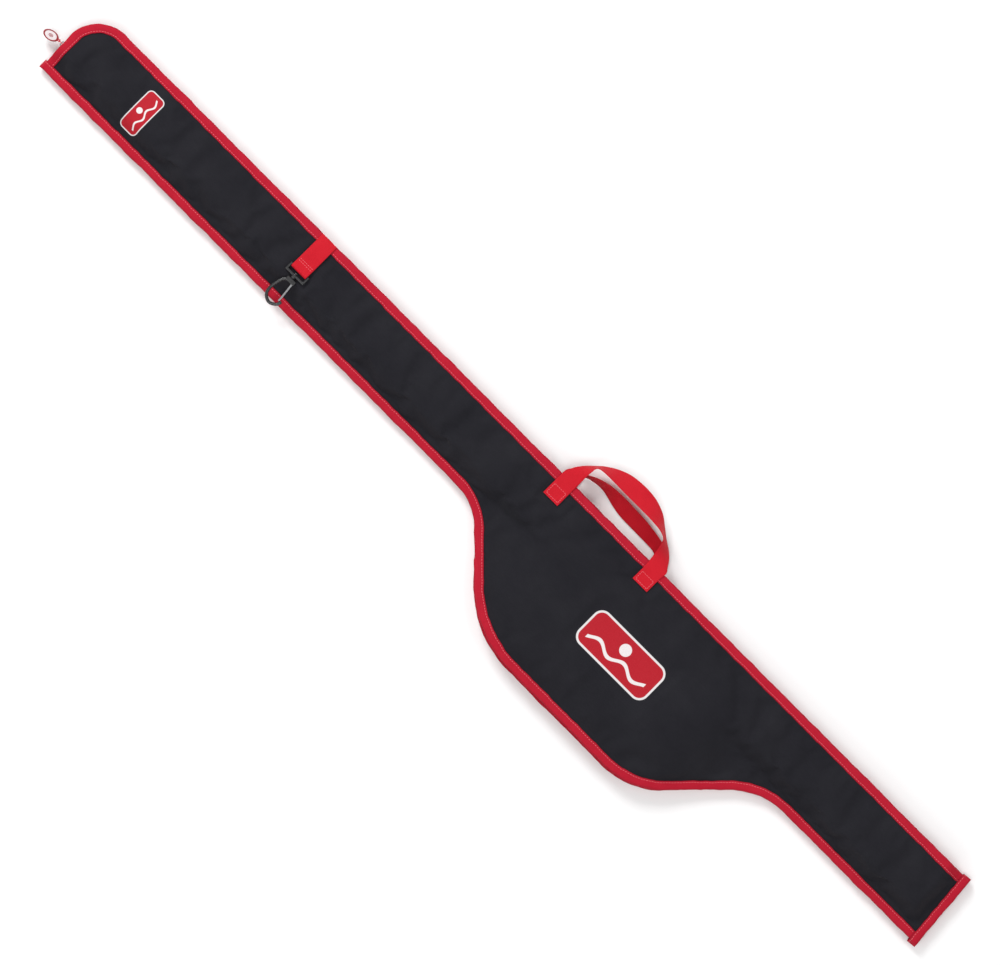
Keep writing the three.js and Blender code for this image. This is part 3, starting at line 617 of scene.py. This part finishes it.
def creases(x, y):
    total = np.zeros_like(x)
    for cx, cy, angle, half_long, half_wide, height in CREASES:
        c, s = cos_sin(angle)
        u = (x - cx) * c + (y - cy) * s
        v = -(x - cx) * s + (y - cy) * c + 0.0035 * u * u
        total = total + height * np.exp(-((u / half_long) ** 2) - (v / half_wide) ** 2)
    return total


def printed(x, y):
    """1 over the printed plaques, whose ink stiffens the cloth."""
    total = np.zeros_like(x)
    for (cx, cy), (long, high), turned in PRINTS:
        half_x, half_y = (high, long) if turned else (long, high)
        over = smooth((half_x + 11 - abs(x - cx)) / 9) * smooth((half_y + 11 - abs(y - cy)) / 9)
        total = np.maximum(total, over)
    return total


def held_down(x, y):
    """1 where something holds the panel flat: webbing ends, the hook strap and its hook."""
    total = np.zeros_like(x)
    for centre, _ in HANDLE_ENDS:
        total = np.maximum(total, smooth((20 - abs(x - centre)) / 6) * smooth((y - 62) / 8))
    strap = smooth((21 - abs(x - HOOK_X)) / 6) * smooth((y + 16) / 8)
    return np.maximum(total, strap)


def settled(points, pinned):
    """The outer cloth, settled by a short cloth simulation over its foam."""
    rows, across = points.shape[:2]
    shell = Shell()
    shell.grid(points, points)
    sheet = shell.piece("settling", [])
    group = sheet.vertex_groups.new(name="pin")
    for k, weight in enumerate(pinned.ravel()):
        group.add([k], float(weight), "REPLACE")
    cloth = sheet.modifiers.new("cloth", "CLOTH").settings
    cloth.quality = 6
    cloth.mass = 0.25
    cloth.tension_stiffness = 18
    cloth.compression_stiffness = 18
    cloth.shear_stiffness = 6
    cloth.bending_stiffness = 1.2
    cloth.air_damping = 3
    cloth.vertex_group_mass = "pin"
    cloth.shrink_min = -0.022
    cloth.use_pressure = True
    cloth.uniform_pressure_force = 1.2
    cloth.effector_weights.gravity = 0
    scene = bpy.context.scene
    for step in range(1, SETTLE_FRAMES + 1):
        scene.frame_set(step)
    solved = sheet.evaluated_get(bpy.context.evaluated_depsgraph_get())
    found = np.array([v.co for v in solved.data.vertices], float) * 1000 + ORIGIN
    scene.frame_set(1)
    bpy.data.objects.remove(sheet)
    moved = found.reshape(rows, across, 3) - points
    far = np.linalg.norm(moved, axis=2, keepdims=True)
    return points + moved * (SETTLE_CAP * np.tanh(far / SETTLE_CAP) / np.maximum(far, 1e-9))


def refined(grid):
    """Twice as many rows and columns, on smooth curves through the points."""
    for _ in range(2):
        n = len(grid)
        padded = np.concatenate([2 * grid[:1] - grid[1:2], grid, 2 * grid[-1:] - grid[-2:-1]])
        middle = (9 * (padded[1:n] + padded[2:n + 1]) - padded[:n - 1] - padded[3:n + 2]) / 16
        out = np.empty((2 * n - 1, *grid.shape[1:]))
        out[0::2] = grid
        out[1::2] = middle
        grid = np.swapaxes(out, 0, 1)
    return grid


def slab(name, top, low, columns, rows, looks):
    """A padded panel between two grids, over a range of grid columns and rows, closed all round."""
    upper = top[columns, rows]
    under = low[columns, rows]
    shell = Shell()
    on_plan = (1, 1, 0)
    shell.grid(upper, upper * on_plan, 0)
    shell.grid(under, under * on_plan, 1)
    for edge in ((slice(None), 0), (slice(None), -1), (0, slice(None)), (-1, slice(None))):
        wall = np.stack([upper[edge], under[edge]], 1)
        shell.grid(wall, wall, 0)
    piece = shell.piece(name, looks, 60)
    return piece


def front_grids():
    """Outer and inner face of the whole front panel, and the grid column where the cover ends."""
    x, y = panel_plan()
    inside = edge_distance(x, y)
    held = held_down(x, y)
    lift = smooth((inside - 9) / 10) * (1 - held)
    tuck = 0.9 * smooth((13.5 - inside) / 2.5)
    puff = 0.9 * lift * smooth((inside - 8) / 26) + creases(x, y) * lift - tuck
    points = np.stack([x, y, underside(x, y) + STACK + puff], 2)
    pinned = np.clip(1 - smooth((inside - 10) / 5) + held, 0, 1)
    found = settled(points, pinned)
    free = lift * smooth((inside - 11.5) / 5) * (1 - 0.65 * printed(x, y))
    top = refined(points + (found - points) * free[:, :, None])
    low_z = underside(x, y) + 0.35 * ripple(x + 3 * y, 2.0, 70) * lift
    low = refined(np.stack([x, y, low_z], 2))
    flap = 2 * int(np.argmin(abs(x[:, LOWER_ROWS - 1] - FLAP_END)))
    return top, low, flap


def front_panel():
    """The cloth that folds, the stretch that twists shut before the butt, and the sewn strip below it."""
    top, low, flap = front_grids()
    fold = 2 * (LOWER_ROWS - 1)
    whole, beyond = slice(0, flap + 1), slice(flap, None)
    body = slab("front_panel", top, low, whole, slice(None), [BLACK, LINING])
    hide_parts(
        "front_fabric", "front_lining", "front_foam_tip", "front_foam_pouch",
        "cover_fabric", "cover_foam", "cover_lining",
    )
    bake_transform(body)
    twist = slab("front_panel_butt", top, low, beyond, slice(fold, None), [BLACK, LINING])
    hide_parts("front_foam_butt", "front_foam_end")
    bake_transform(twist)
    ledge = fold + 3  # the sewn strip reaches in behind the fold up to this row, so that it stays closed
    hidden = np.zeros((top.shape[1], 3))
    hidden[fold + 1:ledge, 2] = 0.9
    rows = slice(0, ledge)
    sewn = slab("front_panel_neck", top - hidden, low + hidden, beyond, rows, [BLACK, LINING])
    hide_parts("front_foam_neck")
    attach(sewn, "case_body")


def back_panel():
    x, y = panel_plan()
    lift = smooth((edge_distance(x, y) - 9) / 14)
    low_z = BACK_LOW - 0.5 * lift + 0.3 * ripple(x + 2 * y, 1.0, 90) * lift
    top_z = BACK_HIGH + 0.5 * lift + 0.4 * ripple(x - 2 * y, 4.0, 80) * lift
    low = refined(np.stack([x, y, low_z], 2))
    top = refined(np.stack([x, y, top_z], 2))
    panel = slab("back_panel", low, top, slice(None), slice(None), [PLAIN_BLACK, LINING])
    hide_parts("back_fabric", "back_foam", "back_lining")
    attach(panel, "case_body")


# ---- edge tapes ---------------------------------------------------------------------------------
def tape_section():
    """Folded tape as (distance inside the edge, share of the height, offset) points, and how many
    of them are on its outer side."""
    top = [(12.0, -0.55), (11.6, -0.12), (10.6, -0.05), (9.6, -0.5), (8.6, -0.02), (6.5, 0.14), (4.6, 0.05)]
    fold = []
    for turn in np.linspace(80, -80, 9):
        c, s = cos_sin(turn)
        fold.append((3.1 * (1 - abs(c) ** 0.62), 0.5 + 0.5 * math.copysign(abs(s) ** 0.75, s), 0.0))
    outer = [(u, 1.0, dz) for u, dz in top] + fold + [(u, 0.0, -dz) for u, dz in top[::-1]]
    inner = [(11.9, 0.0, TAPE), (4.0, 0.0, TAPE), (1.0, 0.5, 0.0), (4.0, 1.0, -TAPE), (11.9, 1.0, -TAPE)]
    return outer + inner, len(outer)


def pressed_flat(at, start, end):
    """How far a tape is pressed together towards its ends, over the given lengths."""
    first = 1 - smooth(at / start) if start else 0 * at
    last = 1 - smooth((at[-1] - at) / end) if end else 0 * at
    return 0.44 * np.maximum(first, last)


def bound(name, line, low_at, high_at, seed, stitches=(1,), pressed=(0, 0)):
    """Folded tape sewn round an edge, a little uneven, as it comes off a sewing machine."""
    normal = outward(line)
    at = lengths(line)
    section, outer_count = tape_section()
    press = pressed_flat(at, *pressed)
    out = 0.45 * ripple(at, seed, 95) + 0.22 * ripple(at, seed + 3, 31)
    inner = 0.35 * ripple(at, seed + 1, 47) + 0.2 * ripple(at, seed + 7, 17)
    lift = 0.18 * ripple(at, seed + 2, 38)
    grid = np.zeros((len(line), len(section), 3))
    lay = np.zeros_like(grid)
    for k, (u, share, offset) in enumerate(section):
        depth = u - out * (1 - u / TAPE_WIDTH) - inner * (u / TAPE_WIDTH)
        x = line[:, 0] - normal[:, 0] * depth
        y = line[:, 1] - normal[:, 1] * depth
        low, high = low_at(x, y), high_at(x, y)
        low, high = low + press * (high - low), high - press * (high - low)
        z = low + share * (high - low) + offset + lift * (share if u > 3 else 0)
        grid[:, k] = np.stack([x, y, np.maximum(z, 0.05)], 1)
        lay[:, k, 0] = at + 37 * seed
        lay[:, k, 1] = u
    shell = Shell()
    shell.grid(grid, lay, 0, closed=True, caps=True)
    groove = 3  # the section's point that the seam pulls down
    for side in stitches:
        k = groove if side > 0 else outer_count - 1 - groove
        seam = grid[:, k]
        up = np.tile((0, 0, float(side)), (len(seam), 1))
        stitch_row(shell, seam + up * 0.06, up)
    piece = shell.piece(name, [RED, RED_THREAD], 60)
    return piece


def zip_side_line(from_x, to_y, step=3.0):
    """The zip side from from_x, round the tip corner and down the tip edge to to_y."""
    return rounded([(from_x, WIDTH), (0, WIDTH, TIP_RADIUS), (0, to_y)], step)


def end_tuck(x, y):
    """How much the tapes thin out where they go in under the butt end's tape."""
    return 1.3 * smooth((x - butt_x(y) + 18) / 5)


def ground(x, y):
    return 0.15 + end_tuck(x, y)


def tucked_ground(x, y):
    """The same, and it goes in under the seam tape at the tip."""
    return ground(x, y) + 1.1 * smooth((18 - y) / 4)


def back_tape_top(x, y):
    return np.zeros_like(x) + BACK_TAPE_TOP


def seam_top(x, y):
    return underside(x, y) + STACK + TAPE_LIFT - end_tuck(x, y)


def tucked_top(x, y):
    """The tip edge's tape goes in under the seam tape at its lower end."""
    return seam_top(x, y) - 0.9 * smooth((14 - y) / 4)


def end_low(x, y):
    return np.full_like(x, 0.15)


def end_high(x, y):
    return np.full_like(x, SEAM_HEIGHT + STACK + 1.6)


def front_low(x, y):
    return underside(x, y) - TAPE_LIFT


def between_x(line, low, high):
    return line[(line[:, 0] >= low - 0.01) & (line[:, 0] <= high + 0.01)]


def set_out(line, far, run_in):
    """A line moved outwards by far, coming back to its place over run_in at both ends."""
    at = lengths(line)
    reach = smooth(at / run_in) * smooth((at[-1] - at) / run_in)
    return line + outward(line) * (far * reach)[:, None]


def bindings():
    back = bound("back_binding", zip_side_line(BUTT_TOP - 3, 3), tucked_ground, back_tape_top, 1.0, (1, -1))
    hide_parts("back_edge_binding")
    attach(back, "case_body")
    cover = bound("front_binding", zip_side_line(FLAP_END, 5), front_low, tucked_top, 2.0)
    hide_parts("cover_edge_binding", "front_edge_binding_tip")
    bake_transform(cover)
    line = rounded([(BUTT_TOP - 3, WIDTH), (FLAP_END, WIDTH)], 3.0)
    butt = bound("front_binding_butt", line, front_low, seam_top, 2.6)
    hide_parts("front_edge_binding_butt")
    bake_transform(butt)
    parts = (
        ("seam_tape_tip", (-2.5, 822), ground, seam_top, 3.0, (1, -1), "seam_binding_tip"),
        ("seam_tape_butt", (1223, 1551), ground, seam_top, 4.0, (1, -1), "seam_binding_butt"),
        ("pouch_back_tape", POUCH_SPAN, ground, back_tape_top, 5.0, (1, -1), "pouch_back_binding"),
        ("pouch_front_tape", POUCH_SPAN, front_low, seam_top, 6.0, (1,), "pouch_front_binding"),
    )
    for name, (start, end), low, high, seed, rows, node in parts:
        line = between_x(LOWER, start, end)
        if name == "pouch_back_tape":
            line = set_out(line, 3.0, 110)
        if name == "seam_tape_tip":
            line = np.concatenate([resampled(line[:5], 1.0), line[5:]])
        pressed = (4, 0) if name == "seam_tape_tip" else (0, 0)
        piece = bound(name, line, low, high, seed, rows, pressed)
        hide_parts(node)
        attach(piece, "case_body")
    end_line = resampled(np.array([(butt_x(-3), -3.0), (butt_x(107), 107.0)]), 1.5)
    end = bound("butt_end_tape", end_line, end_low, end_high, 7.0, (1, -1), (5, 5))
    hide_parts("butt_end_binding")
    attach(end, "case_body")


def gusset():
    """The strip of cloth that gives the pouch its depth, bulging and a little gathered."""
    line = between_x(LOWER, 819, 1226)
    normal = outward(line)
    at = lengths(line)
    foot = np.full(len(line), BACK_TAPE_TOP + 0.2)
    head = front_low(line[:, 0] - 5 * normal[:, 0], line[:, 1] - 5 * normal[:, 1]) - 0.6
    head = np.maximum(head, foot + 0.4)
    heights = np.linspace(0, 1, 9)
    tall = (head - foot) / 10
    bulge = np.sin(np.pi * heights)[None] * (1.7 + 0.7 * ripple(at, 5, 42))[:, None] * tall[:, None]
    skins = []
    for inset in (4.4, 5.6):
        out = -inset + bulge
        skin = np.stack([
            line[:, 0, None] + normal[:, 0, None] * out,
            line[:, 1, None] + normal[:, 1, None] * out,
            foot[:, None] + (head - foot)[:, None] * heights[None],
        ], 2)
        skins.append(skin)
    ring = np.concatenate([skins[0], skins[1][:, ::-1]], 1)
    lay = np.zeros_like(ring)
    lay[:, :, 0] = at[:, None]
    lay[:, :, 1] = ring[:, :, 2]
    shell = Shell()
    shell.grid(ring, lay, 0, closed=True, caps=True)
    piece = shell.piece("pouch_side_cloth", [PLAIN_BLACK])
    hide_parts("pouch_gusset")
    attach(piece, "case_body")


# ---- zip ----------------------------------------------------------------------------------------
def zip_half(name, line, tape, coil, nodes):
    """Half a zip: its woven tape on edge and the coil sewn to it."""
    normal = outward(line)
    at = lengths(line)
    inner = line - normal * 3.0
    heights = np.linspace(tape[0], tape[1], 4)
    sides = [(-0.4, z) for z in heights] + [(0.4, z) for z in heights[::-1]]
    wave = 0.25 * ripple(at, 3, 60)
    grid = np.zeros((len(line), len(sides), 3))
    lay = np.zeros_like(grid)
    for k, (u, z) in enumerate(sides):
        grid[:, k, :2] = inner + normal * (u + wave)[:, None]
        grid[:, k, 2] = z
        lay[:, k] = np.stack([at, np.full(len(at), z), np.zeros(len(at))], 1)
    shell = Shell()
    shell.grid(grid, lay, 0, closed=True, caps=True)
    middle = np.concatenate([inner, np.full((len(line), 1), sum(coil) / 2)], 1)
    across = np.concatenate([normal, np.zeros((len(line), 1))], 1)
    pitch = 1.5
    turns = resampled(np.concatenate([middle, across], 1), pitch)
    centre, side = turns[:, :3], unit(turns[:, 3:])
    along = np.cross(side, (0, 0, 1.0))
    ring = np.linspace(0, 2 * np.pi, 7)[:-1]
    half_high = (coil[1] - coil[0]) / 2
    stations = ((-1.25, 0.45), (-0.9, 0.95), (0.9, 0.95), (1.25, 0.45))
    each = np.stack([
        centre[:, None] + side[:, None] * reach
        + along[:, None] * (swell * 0.5 * np.cos(ring))[None, :, None]
        + np.array([0, 0, 1.0]) * (swell * half_high * np.sin(ring))[None, :, None]
        for reach, swell in stations
    ], 1)
    shell.beads(each, 1)
    piece = shell.piece(name, [ZIP_TAPE, COIL])
    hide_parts(*nodes)
    return piece


def zips():
    high_tape, high_coil = (15.6, 19.6), (14.25, 15.5)
    back = zip_half(
        "back_zip", zip_side_line(BUTT_TOP - 36, 35), (7.5, 11.5), (11.6, 12.85),
        ("back_zip_tape", "back_zip_coil"),
    )
    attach(back, "case_body")
    cover = zip_half(
        "front_zip", zip_side_line(FLAP_END, 36.3), high_tape, high_coil,
        ("cover_zip_tape", "cover_zip_coil"),
    )
    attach(cover, "front_cover")
    line = rounded([(BUTT_TOP - 36, WIDTH), (FLAP_END, WIDTH)], 3.0)
    butt = zip_half(
        "front_zip_butt", line, high_tape, high_coil,
        ("front_zip_tape_butt", "front_zip_coil_butt"),
    )
    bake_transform(butt)


# ---- webbing ------------------------------------------------------------------------------------
def splined(points, per_step=6):
    """A smooth line through the points."""
    points = np.asarray(points, float)
    ends = np.concatenate([2 * points[:1] - points[1:2], points, 2 * points[-1:] - points[-2:-1]])
    out = []
    for k in range(len(points) - 1):
        a, b, c, d = ends[k:k + 4]
        for t in np.linspace(0, 1, per_step, endpoint=False):
            out.append(0.5 * (2 * b + (c - a) * t + (2 * a - 5 * b + 4 * c - d) * t ** 2
                              + (3 * b - a - 3 * c + d) * t ** 3))
    out.append(points[-1])
    return np.array(out)


def ribbon(shell, left, right, thick=WEB_THICK, offset=0.0):
    """Webbing between two edge lines, with rounded selvedges. Returns its middle line and normals."""
    across = right - left
    wide = np.linalg.norm(across, axis=1)[:, None]
    middle = (left + right) / 2
    along = unit(np.gradient(middle, axis=0))
    up = unit(np.cross(across / wide, along))
    at = lengths(middle) + offset
    spots = np.array([0, 0.012, 0.035, 0.08, 0.2, 0.35, 0.5, 0.65, 0.8, 0.92, 0.965, 0.988, 1])
    swell = np.array([0.0, 0.55, 0.85, 1, 1, 1, 1, 1, 1, 1, 0.85, 0.55, 0.0])
    over = list(zip(spots, swell))
    ring = over + [(t, -s) for t, s in over[-2:0:-1]]
    grid = np.stack([left + across * t + up * (s * thick / 2) for t, s in ring], 1)
    lay = np.zeros_like(grid)
    lay[:, :, 0] = at[:, None]
    lay[:, :, 1] = np.array([t for t, _ in ring])[None] * WEB
    shell.grid(grid, lay, 0, closed=True, caps=True)
    return middle, up


WEB_STITCH = {"pitch": 3.0, "long": 2.3, "wide": 0.6, "high": 0.4}


def box_stitches(shell, corners, height, side=1.0):
    """Stitches round a rectangle on flat webbing; corners are (x, y) low and high."""
    (x0, y0), (x1, y1) = corners
    loop = np.array([(x0, y0), (x1, y0), (x1, y1), (x0, y1), (x0, y0)], float)
    for a, b in zip(loop[:-1], loop[1:]):
        line = resampled(np.stack([a, b]), 1.5)
        lifted = np.concatenate([line, height(line[:, 0], line[:, 1])[:, None]], 1)
        up = np.tile((0, 0, side), (len(line), 1))
        stitch_row(shell, lifted, up, **WEB_STITCH)


FRONT_HANDLE = [  # outer edge, inner edge
    ((821.5, 70.5, 27.5), (846.5, 70.5, 27.5)), ((821.5, 82, 27.6), (846.5, 82, 27.6)),
    ((821.5, 90, 28.0), (846.5, 90, 28.0)), ((821.6, 98, 28.4), (846.5, 98, 28.4)),
    ((822.0, 105.5, 28.4), (846.6, 105.5, 28.6)), ((824.0, 113, 27.6), (846.6, 113, 29.8)),
    ((828.6, 122, 24.4), (846.5, 121, 32.8)), ((835.8, 131, 20.0), (846.8, 130, 35.8)),
    ((844.0, 138.8, 16.4), (848.0, 138.2, 37.6)), ((853.6, 147.4, 16.6), (853.6, 141.0, 37.6)),
    ((867.6, 156.6, 19.6), (866.6, 141.6, 36.6)), ((885.6, 163.4, 22.6), (883.6, 141.4, 34.8)),
    ((907.4, 165.6, 24.0), (905.4, 141.2, 33.8)), ((927.6, 164.0, 23.2), (925.4, 141.4, 34.4)),
    ((946.2, 157.4, 20.6), (944.0, 141.0, 36.0)), ((960.6, 147.0, 17.4), (958.4, 139.8, 37.4)),
    ((971.8, 138.2, 15.8), (968.2, 136.0, 37.8)), ((984.6, 129.8, 17.6), (971.0, 129.4, 36.6)),
    ((993.2, 121.8, 21.4), (973.0, 121.4, 33.6)), ((998.2, 114, 26.0), (974.4, 113.6, 30.4)),
    ((1002.4, 107.6, 28.4), (975.4, 106.5, 28.8)), ((1001.8, 98, 28.4), (976.2, 98, 28.4)),
    ((1001.6, 90, 28.0), (976.5, 90, 28.0)), ((1001.6, 82, 27.6), (976.5, 82, 27.6)),
    ((1001.6, 73.6, 27.5), (976.5, 73.6, 27.5)),
]
BACK_HANDLE = [  # outer edge, inner edge
    ((821.5, 71, 0.75), (846.5, 71, 0.75)), ((821.5, 90, 0.75), (846.5, 90, 0.75)),
    ((821.6, 104, 0.8), (846.5, 104, 0.8)), ((823, 112.5, 2.0), (846.4, 111, 1.0)),
    ((829, 119.5, 7.0), (846.3, 116.6, 1.0)), ((838.5, 123.6, 13.6), (846.8, 120.4, 1.0)),
    ((847.5, 125.6, 17.6), (851.0, 122.8, 1.0)), ((857, 130.4, 18.6), (859, 124.4, 1.0)),
    ((868, 134.2, 17.6), (868, 125.3, 1.0)), ((880, 136.6, 15.4), (878, 124.3, 1.0)),
    ((895, 137.6, 13.0), (893, 120.4, 1.0)), ((912, 137.4, 11.6), (911, 117.2, 1.0)),
    ((938, 136.2, 10.2), (937, 116.6, 1.0)), ((957, 134.2, 6.8), (954, 116.4, 1.0)),
    ((968, 132.4, 3.6), (963, 116.2, 1.0)), ((977, 130.2, 2.4), (970, 115.8, 1.0)),
    ((990, 124.4, 2.0), (976.4, 113.2, 1.0)),
    ((998.4, 114.6, 1.6), (977.2, 108.8, 0.9)), ((1001.4, 104, 0.8), (976.5, 104, 0.8)),
    ((1001.6, 90, 0.75), (976.5, 90, 0.75)), ((1001.6, 73.6, 0.75), (976.5, 73.6, 0.75)),
]


def handle(name, edges, height, side, nodes):
    left = splined([a for a, _ in edges])
    right = splined([b for _, b in edges])
    shell = Shell()
    ribbon(shell, left, right)
    for x, low in HANDLE_ENDS:
        box_stitches(shell, ((x - 9.6, low), (x + 9.6, 88.5)), height, side)
    piece = shell.piece(name, [WEBBING, RED_THREAD])
    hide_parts(*nodes)
    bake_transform(piece)


def handles():
    handle(
        "front_carry_handle", FRONT_HANDLE, lambda x, y: 28.2 + 0.4 * smooth((y - 80) / 10), 1.0,
        ("front_handle", "front_handle_tab_tip", "front_handle_tab_butt"),
    )
    handle(
        "back_carry_handle", BACK_HANDLE, lambda x, y: np.full_like(x, 0.16), -1.0,
        ("back_handle", "back_handle_tab_tip", "back_handle_tab_butt"),
    )


def hook_strap():
    """Doubled webbing from the zip-side edge to the hook's eye, looped round its bar."""
    profile = [(103.6, 27.9), (98, 28.35), (92, 28.35), (84, 28.5), (74, 28.6), (64, 29.0), (58, 30.3)]
    for turn in np.linspace(80, 280, 11):
        c, s = cos_sin(turn)
        profile.append((BAR_Y + 2.5 * c, BAR_Z + 2.5 * s))
    profile += [(58, 27.0), (66, 27.05), (78, 27.05), (89, 27.05)]
    line = splined(profile, 4)
    left = np.stack([np.full(len(line), HOOK_X - 12.5), line[:, 0], line[:, 1]], 1)
    right = left + (WEB, 0, 0)
    shell = Shell()
    ribbon(shell, left, right, 1.25, 400)
    for y in (59.5, 62.5):
        across = resampled(np.array([(HOOK_X - 11, y), (HOOK_X + 11, y)]), 1.5)
        z = np.full((len(across), 1), 29.9 + (62.5 - y) * 0.22)
        up = np.tile((0, 0, 1.0), (len(across), 1))
        stitch_row(shell, np.concatenate([across, z], 1), up, **WEB_STITCH)
    piece = shell.piece("hook_webbing", [WEBBING, RED_THREAD])
    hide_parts("hook_strap", "hook_strap_tab")
    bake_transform(piece)


# ---- hard parts ---------------------------------------------------------------------------------
def softened(name, node, voxel, rounds, looks, body):
    """A moulded copy of a CAD solid, its corners rounded off."""
    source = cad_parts[node]
    obj = placed(name, source.data.copy())
    obj.data.materials.clear()
    remesh = obj.modifiers.new("remesh", "REMESH")
    remesh.mode = "VOXEL"
    remesh.voxel_size = voxel / 1000
    even = obj.modifiers.new("smooth", "SMOOTH")
    even.factor = 0.5
    even.iterations = rounds
    solved = obj.evaluated_get(bpy.context.evaluated_depsgraph_get())
    mesh = bpy.data.meshes.new_from_object(solved)
    obj.modifiers.clear()
    obj.data = mesh
    mesh.name = name
    mesh.materials.clear()
    dressed(mesh, np.array([v.co for v in mesh.vertices], np.float32) * 1000, looks)
    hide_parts(node)
    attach(obj, body)
    return obj


def pull_oval(share, height, angles):
    """A ring of points on the pull's oval: its share of the full size, its height over the middle."""
    x = share * PULL_LONG / 2 * np.cos(angles) - PULL_NECK - PULL_LONG / 2
    y = share * PULL_WIDE / 2 * np.sin(angles)
    c, s = cos_sin(PULL_TILT)
    z = np.full(len(angles), ZIP_Z + height)
    return np.stack([LINK_X + c * x - s * y, ZIP_Y + s * x + c * y, z], 1)


def pull_tab():
    """Flat oval with a raised rim and a plain ring as its mark, over the solid neck."""
    face, dark = 0, 1
    rings = [  # share of the full size, height, look of the band up to there
        (0.005, 1.32, dark), (0.13, 1.34, dark), (0.2, 1.36, face), (0.3, 1.36, dark), (0.34, 1.36, face),
        (0.78, 1.3, face), (0.81, 1.45, dark), (0.85, 1.7, dark), (0.93, 1.75, dark), (0.99, 1.5, dark),
        (1.02, 0.9, dark),
    ]
    angles = np.linspace(0, 2 * np.pi, 49)[:-1]
    shell = Shell()
    for side in (1, -1):
        for (inner, low, _), (outer, high, look) in zip(rings[:-1], rings[1:]):
            band = np.stack([
                pull_oval(inner, side * low, angles), pull_oval(outer, side * high, angles),
            ])
            shell.grid(band, band, look, closed=True)
    share, height, _ = rings[-1]
    wall = np.stack([pull_oval(share, -height, angles), pull_oval(share, height, angles)])
    shell.grid(wall, wall, dark, closed=True)
    piece = shell.piece("pull_badge", [BADGE, BADGE_DARK], 60)
    softened("pull_neck", "pull_tab", 0.25, 3, [LINK_PAINT], "pull_tab")
    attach(piece, "pull_tab")


def hardware():
    softened("snap_hook_eye", "hook_eye", 0.3, 8, [PLASTIC], "hook_eye")
    softened("snap_hook", "hook_body", 0.3, 10, [PLASTIC], "hook_body")
    softened("snap_hook_gate", "hook_gate", 0.2, 3, [STEEL], "hook_gate")
    softened("zip_slider_cast", "zip_slider", 0.18, 3, [METAL], "zip_slider")
    softened("zip_stop", "zip_end_stop", 0.15, 2, [METAL], "case_body")
    softened("pull_ring", "pull_link", 0.15, 2, [LINK_PAINT], "pull_link")
    pull_tab()


# ---- floor, light and camera --------------------------------------------------------------------
def studio():
    bpy.ops.mesh.primitive_plane_add(size=14, location=(0, 0, -0.0008))
    floor = bpy.context.object
    floor.name = "floor"
    floor.data.materials.append(floor_look())
    world = bpy.data.worlds.new("studio")
    bpy.context.scene.world = world
    world.use_nodes = True
    background = world.node_tree.nodes["Background"]
    background.inputs["Color"].default_value = (1.0, 1.0, 1.0, 1)
    background.inputs["Strength"].default_value = 0.52
    lamps = (  # place, size, power
        ((-3.0, 1.6, 2.8), 1.7, 124), ((0.5, -1.2, 4.4), 2.0, 56), ((3.2, 1.8, 3.2), 2.4, 34),
        ((-0.8, -3.6, 3.0), 2.4, 32),
    )
    for k, (place, size, power) in enumerate(lamps):
        lamp = bpy.data.lights.new(f"softbox_{k}", "AREA")
        lamp.size = size
        lamp.energy = power
        obj = placed(f"softbox_{k}", lamp)
        obj.location = place
        obj.rotation_euler = (-Vector(place)).to_track_quat("-Z", "Y").to_euler()
    bpy.context.scene.view_settings.view_transform = "Standard"


def camera():
    data = bpy.data.cameras.new("camera")
    obj = placed("camera", data)
    height = 6.0
    data.sensor_width = 36
    data.lens = 36 * height / 1.25
    data.clip_end = 50
    obj.location = (0.01245, 0.0170, height + 0.026)
    obj.rotation_euler = (0, 0, math.radians(45.07))
    bpy.context.scene.camera = obj


studio()
camera()
front_panel()
back_panel()
bindings()
gusset()
zips()
handles()
hook_strap()
hardware()
